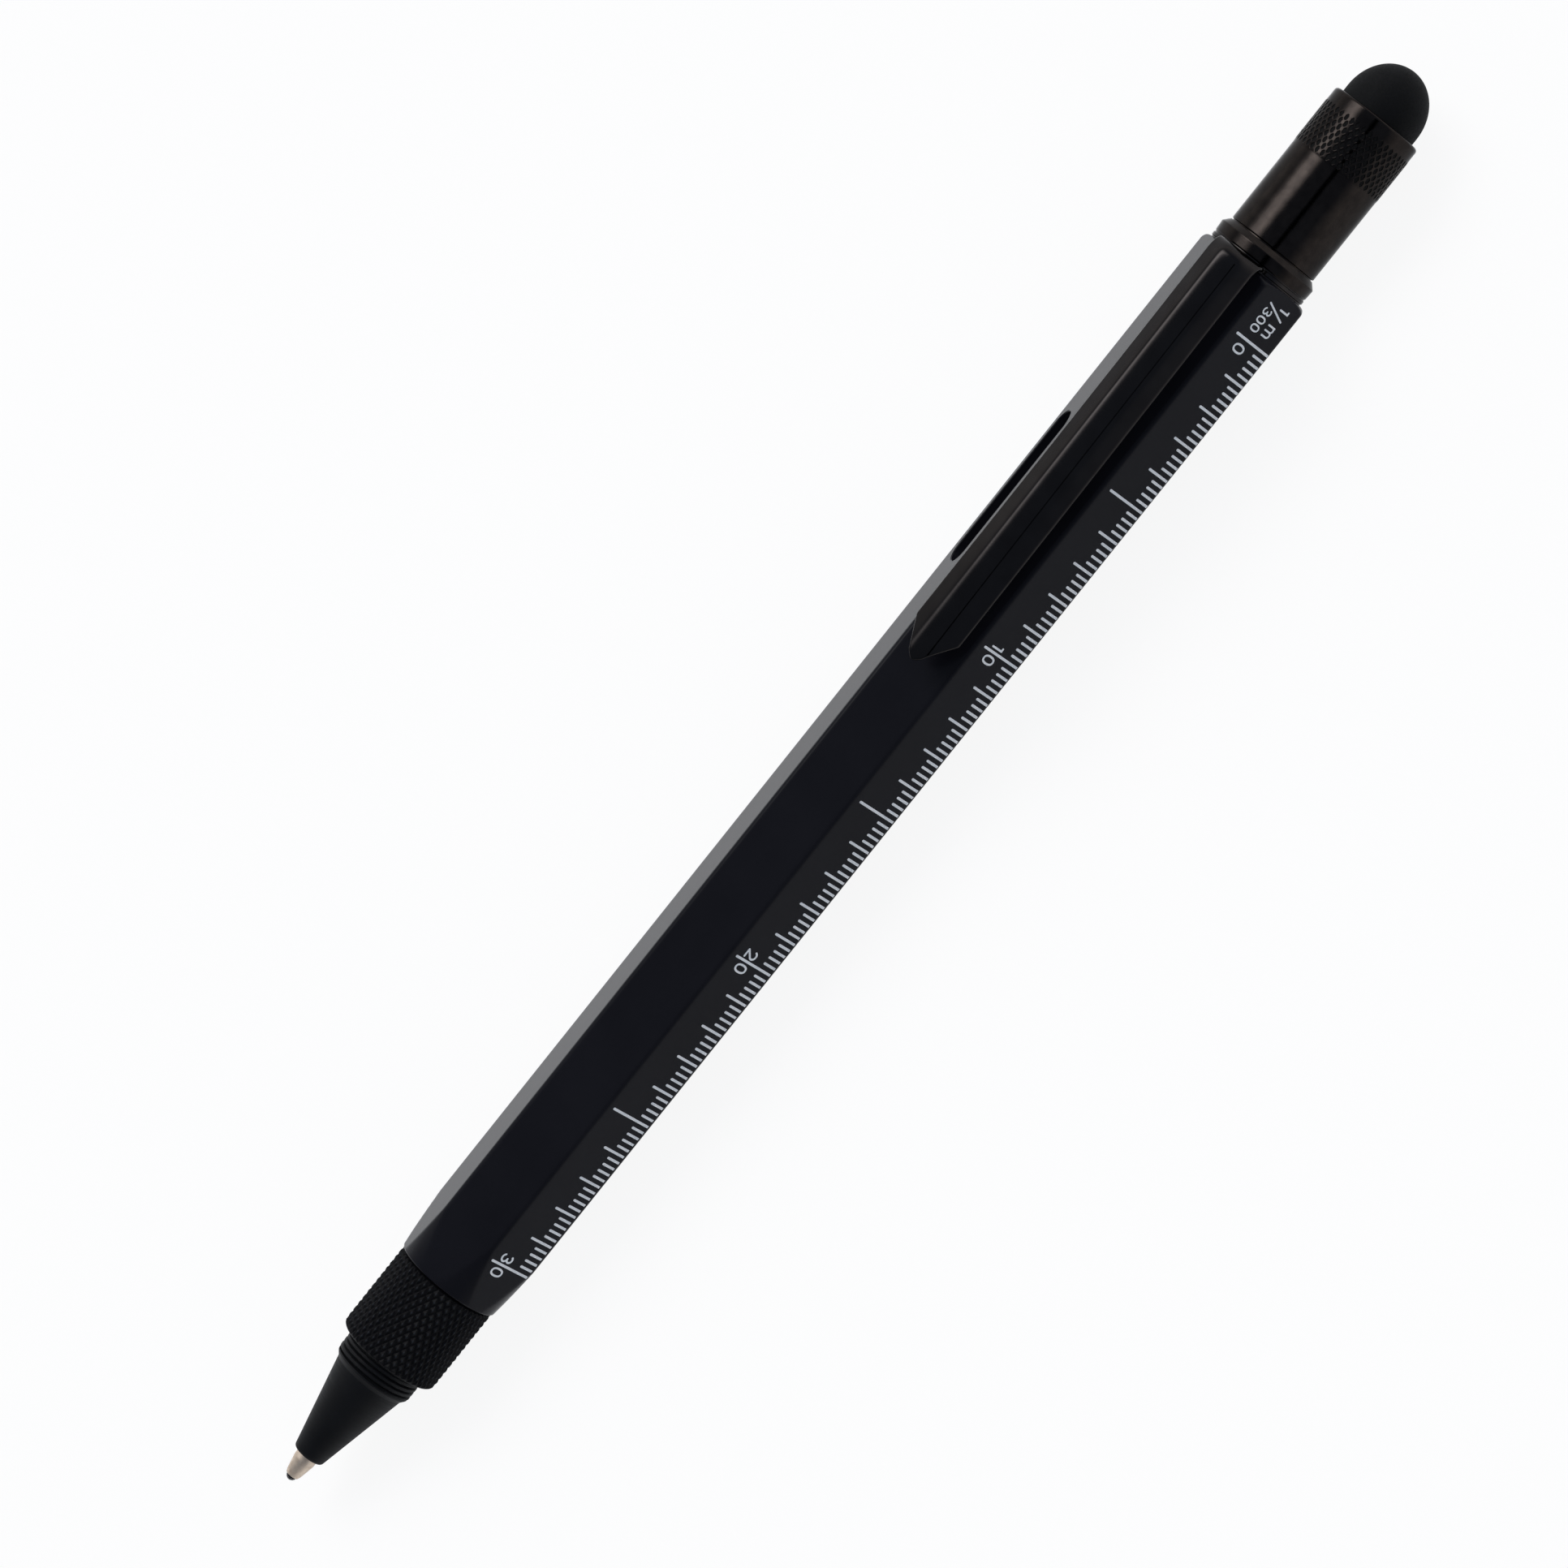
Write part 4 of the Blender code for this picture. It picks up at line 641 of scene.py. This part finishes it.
def make_numerals():
    """The scale's numbers, each pair set astride its long tick, with the ratio and the unit.

    Each print is a figure, where its middle stands, its height and its line's width. Each line has
    a lift of its own, so that no two of them share a plane where they cross.
    """
    row, high, width = -0.59, 1.18, 0.19
    prints = [("0", X_ZERO - 0.98, row, high, width)]
    for k in (1, 2, 3):
        x = X_ZERO - 50 * TICK_STEP * k
        prints += [(str(k), x + (0.43 if k == 1 else 0.70), row + drift(x), high, width),
                   ("0", x - 0.78, row + drift(x), high, width)]
    prints += [("1", X_ZERO + 3.66, 0.93, 1.00, 0.18), ("/", X_ZERO + 3.24, 0.16, 2.32, 0.17),
               ("3", X_ZERO + 2.86, -0.64, 0.92, 0.15), ("0", X_ZERO + 2.02, -0.65, 0.90, 0.16),
               ("0", X_ZERO + 1.20, -0.63, 0.90, 0.16), ("m", X_ZERO + 1.61, 0.86, 0.82, 0.17)]
    shells = []
    for kind, x, e, high, width in prints:
        for path in figure(kind, high):
            lift = PRINT_LIFT + 0.0008 * (len(shells) % 7)
            shells.append(stroke(path, width, x, e, lift, loop=kind == "0"))
    return build("scale_numerals", shells)


# Finishes

def linear(code):
    """An sRGB hex colour as linear red, green, blue and a full alpha."""
    values = [int(code[k:k + 2], 16) / 255 for k in (1, 3, 5)]
    return tuple(v / 12.92 if v < 0.04045 else ((v + 0.055) / 1.055) ** 2.4 for v in values) + (1.0,)


def add_node(tree, kind, settings=None, links=None):
    """Add one node with its settings, by socket or attribute name, and its links, by socket name."""
    item = tree.nodes.new(kind)
    for key, value in (settings or {}).items():
        if key in item.inputs:
            item.inputs[key].default_value = value
        else:
            setattr(item, key, value)
    for key, source in (links or {}).items():
        tree.links.new(source, item.inputs[key])
    return item


def between(tree, value, low, high, off=0.0, on=1.0, smooth=True):
    """A node's output that goes from off to on while a value goes from low to high."""
    settings = {"From Min": low, "From Max": high, "To Min": off, "To Max": on}
    if smooth:
        settings["interpolation_type"] = 'SMOOTHSTEP'
    return add_node(tree, "ShaderNodeMapRange", settings, {"Value": value}).outputs["Result"]


def calculated(tree, operation, first, second):
    """A math node's output for two values, each an output or a number."""
    item = add_node(tree, "ShaderNodeMath", {"operation": operation})
    for socket, value in zip(item.inputs, (first, second)):
        if isinstance(value, (int, float)):
            socket.default_value = value
        else:
            tree.links.new(value, socket)
    return item.outputs[0]


def mixed(tree, factor):
    """A colour mix node: its two colours are inputs 6 and 7 and its result output 2."""
    return add_node(tree, "ShaderNodeMix", {"data_type": 'RGBA'}, {"Factor": factor})


def finish(name, dark, light, blotch, grain, bump, rough, **values):
    """A surface whose colour drifts in soft clouds and whose grain breaks the gloss.

    dark and light are the hex colours that clouds of blotch mm run between. grain is the grain's
    size in mm along X, Y and Z, bump its height in mm, and rough the least and most roughness.
    Both noises keep close to a half, so what they drive is spread over 0.3 to 0.7 of them. Other
    values go on the shader's sockets by name.
    """
    material = bpy.data.materials.new(name)
    material.use_nodes = True
    tree = material.node_tree
    shader = tree.nodes["Principled BSDF"]
    for key, value in values.items():
        shader.inputs[key.replace("_", " ")].default_value = value
    place = add_node(tree, "ShaderNodeTexCoord").outputs["Object"]
    clouds = add_node(tree, "ShaderNodeTexNoise", {"Scale": 1 / (blotch * MM), "Detail": 4.0},
                      {"Vector": place}).outputs["Fac"]
    colour = mixed(tree, between(tree, clouds, 0.3, 0.7, smooth=False))
    colour.inputs[6].default_value, colour.inputs[7].default_value = linear(dark), linear(light)
    fitted = add_node(tree, "ShaderNodeMapping", {"Scale": [1 / (size * MM) for size in grain]},
                      {"Vector": place})
    grains = add_node(tree, "ShaderNodeTexNoise", {"Scale": 1.0, "Detail": 3.0},
                      {"Vector": fitted.outputs["Vector"]}).outputs["Fac"]
    gloss = between(tree, grains, 0.3, 0.7, *rough, smooth=False)
    relief = add_node(tree, "ShaderNodeBump", {"Strength": 1.0, "Distance": bump * MM}, {"Height": grains})
    for socket, source in (("Base Color", colour.outputs[2]), ("Roughness", gloss),
                           ("Normal", relief.outputs["Normal"])):
        tree.links.new(source, shader.inputs[socket])
    return material


def paint_point_highlight(material, low, high, tone):
    """Painted highlight: pale a turned piece's colour to tone from low to high, its distance from the
    pen's axis in mm, so that its outermost points look lit.
    """
    tree = material.node_tree
    base = tree.nodes["Principled BSDF"].inputs["Base Color"]
    under = base.links[0].from_socket
    place = add_node(tree, "ShaderNodeTexCoord").outputs["Object"]
    axis = add_node(tree, "ShaderNodeSeparateXYZ", None, {"Vector": place}).outputs
    height = calculated(tree, 'SUBTRACT', axis["Z"], AXIS_Z * MM)
    squares = calculated(tree, 'ADD', calculated(tree, 'MULTIPLY', axis["Y"], axis["Y"]),
                         calculated(tree, 'MULTIPLY', height, height))
    reach = calculated(tree, 'POWER', squares, 0.5)
    # Painted highlight: the points farthest from the axis take the paler tone.
    highlighted = mixed(tree, between(tree, reach, low * MM, high * MM))
    tree.links.new(under, highlighted.inputs[6])
    highlighted.inputs[7].default_value = linear(tone)
    tree.links.new(highlighted.outputs[2], base)


# Black anodised aluminium, bead-blasted before the dye: deep black. The sealed film is a thin clear
# coat, which leaves a soft sheen where a flat faces a light. The 0.05 mm blast grain breaks it and
# is drawn at 0.12 mm so that it shows.
barrel_black = finish("anodised_aluminium_barrel", "#16161b", "#1a1a1f", 6, (0.12, 0.12, 0.12), 0.0004,
                      (0.14, 0.22), Specular_IOR_Level=0.05, Coat_Weight=0.4, Coat_IOR=1.2,
                      Coat_Roughness=0.2)
# The same dye on turned aluminium: fine rings from the tool run round the cone, and it is duller.
cone_black = finish("anodised_aluminium_turned", "#0c0d0f", "#111215", 3, (0.09, 6, 6), 0.0010,
                    (0.48, 0.60), Specular_IOR_Level=0.15)
# The knurled grip's dye is dull black. The knurl's points are painted paler than what lies between them, a
# painted highlight for the light their tops catch.
grip_black = finish("anodised_aluminium_knurled", "#08080a", "#0d0d10", 1.2, (0.12, 0.12, 0.12), 0.001,
                    (0.42, 0.58), Specular_IOR_Level=0.09)
paint_point_highlight(grip_black, 4.71, 4.78, "#23262b")
# Black-nickel plated brass: warm black, satin, a long soft streak of light along it. The brushing
# under the plate leaves grains that break the streak; they are drawn at 0.1 mm so that they show.
sleeve_plate = finish("black_nickel_plated_sleeve", "#211e1d", "#2b2725", 0.9, (0.16, 0.10, 0.10),
                      0.0025, (0.09, 0.17), Metallic=1.0, Specular_Tint=(0.7, 0.7, 0.7, 1))
# The same plate on the folded spring steel clip, smoother because the sheet was rolled.
clip_plate = finish("black_nickel_plated_clip", "#292727", "#2e2c2c", 2.0, (0.14, 0.12, 0.12), 0.0012,
                    (0.07, 0.14), Metallic=1.0, Specular_Tint=(0.7, 0.7, 0.7, 1))
# Bare turned brass inside the pen: yellow, with tool rings.
brass = finish("turned_brass", "#a98746", "#bb9a56", 4, (0.12, 8, 8), 0.0015, (0.22, 0.34), Metallic=1.0)
# Hardened tool steel of the bit, ring, pin and magnet: grey satin, ground along its length.
steel = finish("ground_tool_steel", "#8b8b8d", "#a2a2a4", 3, (3, 0.1, 0.1), 0.0012, (0.24, 0.36),
               Metallic=1.0)
# Nickel silver writing point: pale, faintly warm, with turning rings that break its highlights.
nickel = finish("turned_nickel_silver", "#d0bfad", "#e4d5c4", 0.5, (0.11, 3, 3), 0.003, (0.50, 0.62),
                Metallic=1.0)
# Nickel-plated brass tube of the refill: cool pale metal, drawn, with faint long lines.
refill_skin = finish("drawn_nickel_tube", "#b4ada1", "#c4beb2", 4, (6, 0.12, 0.12), 0.0008, (0.24, 0.34),
                     Metallic=1.0)
# Tungsten carbide ball wet with black ink: near black and glossy.
ball_wet = finish("carbide_ball_inked", "#050507", "#0c0c10", 0.2, (0.08, 0.08, 0.08), 0.0004,
                  (0.08, 0.16), Specular_IOR_Level=0.5)
# Ball pen ink: a wet black paste.
ink_paste = finish("ink_paste", "#030307", "#07070e", 1, (0.4, 0.4, 0.4), 0.001, (0.05, 0.12))
# Moulded white acetal of the refill's carrier: soft white, waxy.
white_acetal = finish("moulded_acetal_white", "#dedbd2", "#e8e5dd", 5, (0.3, 0.3, 0.3), 0.001,
                      (0.38, 0.5))
# Moulded black nylon of the plugs: dull black with a fine spark-eroded grain.
black_nylon = finish("moulded_nylon_black", "#1a1a1b", "#222223", 3, (0.15, 0.15, 0.15), 0.003,
                     (0.5, 0.62))
# Silicone rubber of the dome: very matte, dusty charcoal, a fine mottle from handling.
rubber = finish("silicone_rubber_dome", "#0a0b0c", "#0e0f11", 1.6, (0.14, 0.14, 0.14), 0.003,
                (0.62, 0.78), Specular_IOR_Level=0.11)
# Painted shade in the knurl's pits: their bottoms are dull black with no gloss, far darker than the plate
# round them.
pit_painted_shade = finish("pits_painted_shade", "#09090a", "#0e0e0f", 0.8, (0.1, 0.1, 0.1), 0.002,
                   (0.6, 0.75), Specular_IOR_Level=0.1)
# Pad-printed epoxy ink: white with a cold cast, slightly uneven where it thins.
white_print = finish("pad_print_white", "#f3f7fa", "#ffffff", 0.8, (0.1, 0.1, 0.1), 0.002, (0.45, 0.6))
# The level's index lines: black lacquer on the vial.
black_print = finish("index_line_black", "#0a0a0a", "#121212", 0.6, (0.2, 0.2, 0.2), 0.001, (0.35, 0.5))
# Cast acrylic vial: clear, with faint drawn lines in its gloss.
acrylic = finish("cast_acrylic_clear", "#f2f6f4", "#fbfdfc", 5, (3, 0.3, 0.3), 0.0005, (0.02, 0.06),
                 Transmission_Weight=1.0, IOR=1.49)
# Level liquid: a thin green alcohol, clear enough to see the vial's far wall.
liquid = finish("level_liquid_green", "#b9d83a", "#c6e04c", 6, (1, 1, 1), 0.0002, (0.0, 0.02),
                Transmission_Weight=1.0, IOR=1.36)


# Table, light and camera

def band(tree, value, rise, fall):
    """A node's output that is 1 between two soft edges, each given by its two ends."""
    return calculated(tree, 'MULTIPLY', between(tree, value, *rise), between(tree, value, *fall, 1, 0))


def make_world():
    """Soft light all round: bright low walls, a dim cool ceiling, and one long soft window of light.

    The window stands 44 degrees from overhead beyond the level's side, towards the stylus end. A
    dark slot in the ceiling, where the photograph's camera stood, leaves the fine dark line that
    runs along the sleeve and the clip's fold. x, y and z are the direction looked in, and from_top
    its angle from overhead towards the level's side. The camera itself sees plain white.
    """
    world = bpy.data.worlds.new("studio")
    scene.world = world
    world.use_nodes = True
    tree = world.node_tree
    room, out = tree.nodes["Background"], tree.nodes["World Output"]
    look = add_node(tree, "ShaderNodeTexCoord").outputs["Generated"]
    axis = add_node(tree, "ShaderNodeSeparateXYZ", None, {"Vector": look})
    x, y, z = (axis.outputs[k] for k in range(3))
    from_top = calculated(tree, 'ARCTAN2', y, z)

    wall, ceiling = (0.95, 0.95, 0.95, 1), (0.23, 0.27, 0.34, 1)
    tone = mixed(tree, between(tree, z, 0.08, 0.58, smooth=False))
    tone.inputs[6].default_value, tone.inputs[7].default_value = wall, ceiling
    tree.links.new(tone.outputs[2], room.inputs["Color"])
    camera_slot = band(tree, from_top, np.radians([-24.8, -21.3]), np.radians([-14.4, -10.9]))
    near_middle = between(tree, calculated(tree, 'ABSOLUTE', x, 0), 0.30, 0.36, 1, 0)
    camera_slot = calculated(tree, 'MULTIPLY', camera_slot, near_middle)
    far_end = between(tree, x, -0.30, 0.02, 0.62, 1.08, smooth=False)
    tree.links.new(calculated(tree, 'MULTIPLY', calculated(tree, 'SUBTRACT', 1, camera_slot), far_end),
                   room.inputs["Strength"])

    warm_white, brightness = (1.0, 0.98, 0.96, 1), 4.0
    across = band(tree, from_top, np.radians([19, 35]), np.radians([40, 68]))
    along = band(tree, x, (-0.20, 0.0), (0.5, 0.75))
    strength = calculated(tree, 'MULTIPLY', calculated(tree, 'MULTIPLY', across, along), brightness)
    window = add_node(tree, "ShaderNodeBackground", {"Color": warm_white}, {"Strength": strength})
    lit = add_node(tree, "ShaderNodeAddShader", None, {0: room.outputs[0], 1: window.outputs[0]})
    white = add_node(tree, "ShaderNodeBackground", {"Color": (1, 1, 1, 1), "Strength": 1.0})
    seen = add_node(tree, "ShaderNodeLightPath").outputs["Is Camera Ray"]
    both = add_node(tree, "ShaderNodeMixShader", None,
                    {0: seen, 1: lit.outputs[0], 2: white.outputs[0]})
    tree.links.new(both.outputs[0], out.inputs["Surface"])


def make_lamp():
    """A weak lamp of 0.9 by 0.4 m in the window of light, which gives the pen's shadow a direction."""
    lamp_data = bpy.data.lights.new("window_lamp", 'AREA')
    lamp_data.shape, lamp_data.size, lamp_data.size_y, lamp_data.energy = 'RECTANGLE', 0.9, 0.40, 0.9
    lamp = bpy.data.objects.new("window_lamp", lamp_data)
    scene.collection.objects.link(lamp)
    from_top, distance, towards_stylus = math.radians(43.6), 1.2, 0.35
    away = Vector((0, math.sin(from_top), math.cos(from_top)))
    sideways = Vector((1, 0, 0))
    turn = Matrix((sideways, away.cross(sideways), away)).transposed().to_4x4()
    lamp.matrix_world = Matrix.Translation(away * distance + sideways * towards_stylus) @ turn
    lamp.visible_camera = False


def make_table():
    """White paper. The camera sees it mostly as an even glow, as on the photograph's white ground.

    Glossy and clear surfaces see it brighter and a little warmer than the light on it makes it, as
    they would a paper that is lit evenly all round.
    """
    side = 8
    table = bpy.data.meshes.new("table")
    table.from_pydata([(-side, -side, 0), (side, -side, 0), (side, side, 0), (-side, side, 0)], [],
                      [(0, 1, 2, 3)])
    floor = bpy.data.objects.new("table", table)
    scene.collection.objects.link(floor)
    paper = bpy.data.materials.new("white_paper_table")
    paper.use_nodes = True
    tree = paper.node_tree
    shader = tree.nodes["Principled BSDF"]
    shader.inputs["Base Color"].default_value = (0.85, 0.85, 0.85, 1)
    shader.inputs["Roughness"].default_value = 0.9
    shader.inputs["Specular IOR Level"].default_value = 0.0
    shader.inputs["Emission Color"].default_value = (1, 0.985, 0.96, 1)
    seen = add_node(tree, "ShaderNodeLightPath")
    mirrored_glow, camera_glow, camera_share = 0.4, 1.06, 0.85
    mirrored = calculated(tree, 'MAXIMUM', seen.outputs["Is Glossy Ray"],
                          seen.outputs["Is Transmission Ray"])
    tree.links.new(calculated(tree, 'MULTIPLY', mirrored, mirrored_glow),
                   shader.inputs["Emission Strength"])
    glow = add_node(tree, "ShaderNodeEmission", {"Color": (1, 1, 1, 1), "Strength": camera_glow})
    share = calculated(tree, 'MULTIPLY', seen.outputs["Is Camera Ray"], camera_share)
    both = add_node(tree, "ShaderNodeMixShader", None,
                    {0: share, 1: shader.outputs[0], 2: glow.outputs[0]})
    tree.links.new(both.outputs[0], tree.nodes["Material Output"].inputs["Surface"])
    table.materials.append(paper)


def make_camera():
    """The photograph's view, resected from the printed ticks and the hexagon's edges.

    It looks at a point near the pen's middle from a distance, both in mm. The azimuth runs from +X
    towards +Y, and the roll turns the picture so that the pen lies along its diagonal.
    """
    target, distance = Vector((-2.886, 4.177, AXIS_Z)), 478.338
    azimuth, elevation, roll = (math.radians(angle) for angle in (-67.9601, 72.3863, -72.4949))
    camera_data = bpy.data.cameras.new("photo_view")
    camera_data.lens, camera_data.sensor_width, camera_data.clip_start = 129.62, 36.0, 0.01
    camera = bpy.data.objects.new("photo_view", camera_data)
    scene.collection.objects.link(camera)
    turn = (Matrix.Rotation(azimuth + math.pi / 2, 4, 'Z')
            @ Matrix.Rotation(math.pi / 2 - elevation, 4, 'X') @ Matrix.Rotation(roll, 4, 'Z'))
    back = turn @ Vector((0, 0, 1))
    camera.matrix_world = Matrix.Translation((target + back * distance) * MM) @ turn
    scene.camera = camera


def dress(piece, body, material, slot, *nodes):
    """Give a piece its finish and its body, and hide the nodes that it stands for. slot is not used."""
    piece.data.materials.clear()
    piece.data.materials.append(material)
    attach(piece, body)
    if nodes:
        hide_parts(*nodes)


scene.view_settings.view_transform = 'Standard'
make_camera()
make_world()
make_lamp()
make_table()

dress(make_barrel(), "barrel", barrel_black, "black_anodised", "barrel")
dress(make_clip_ring(), "barrel", clip_plate, "black_plated", "clip_ring")
dress(make_flange_bush(), "barrel", sleeve_plate, "black_plated", "rear_bush")
dress(make_clip(), "clip_arm", clip_plate, "black_plated", "clip_arm")
dress(make_grip(), "grip", grip_black, "black_anodised", "grip")
dress(make_threaded_bush(), "nose_bush", cone_black, "black_anodised", "nose_bush")
dress(make_cone(), "nose_cone", cone_black, "black_anodised", "nose_cone")
dress(make_point(), "refill", nickel, "nickel_silver", "refill_tip")
dress(make_sleeve(), "cap", sleeve_plate, "black_plated", "stylus_sleeve")
# The pits' dark floor is painted shade.
dress(make_pit_shade_floor(), "cap", pit_painted_shade, "black_plated")
dress(make_dome(), "cap", rubber, "stylus_rubber", "stylus_dome")
dress(make_vial(), "barrel", acrylic, "vial_clear", "level_vial")
dress(make_index_rings(), "barrel", black_print, "black_plastic")
dress(make_ticks(), "barrel", white_print, "white_plastic")
dress(make_numerals(), "barrel", white_print, "white_plastic")

# Hidden pieces and the ball keep their solids
kept = {"front_bush": brass, "guide_tube": brass, "cam_tube": brass, "cap_bush": brass,
        "retaining_ring": steel, "bit_magnet": steel, "cam_pin": steel, "driver_bit": steel,
        "vial_plug_front": black_nylon, "vial_plug_rear": black_nylon, "stylus_plug": black_nylon,
        "level_liquid": liquid, "refill_ball": ball_wet, "refill_tube": refill_skin,
        "refill_ink": ink_paste, "refill_holder": white_acetal}
for node, material in kept.items():
    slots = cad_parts[node].material_slots
    if not slots:
        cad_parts[node].data.materials.append(material)
    for slot in slots:
        slot.material = material
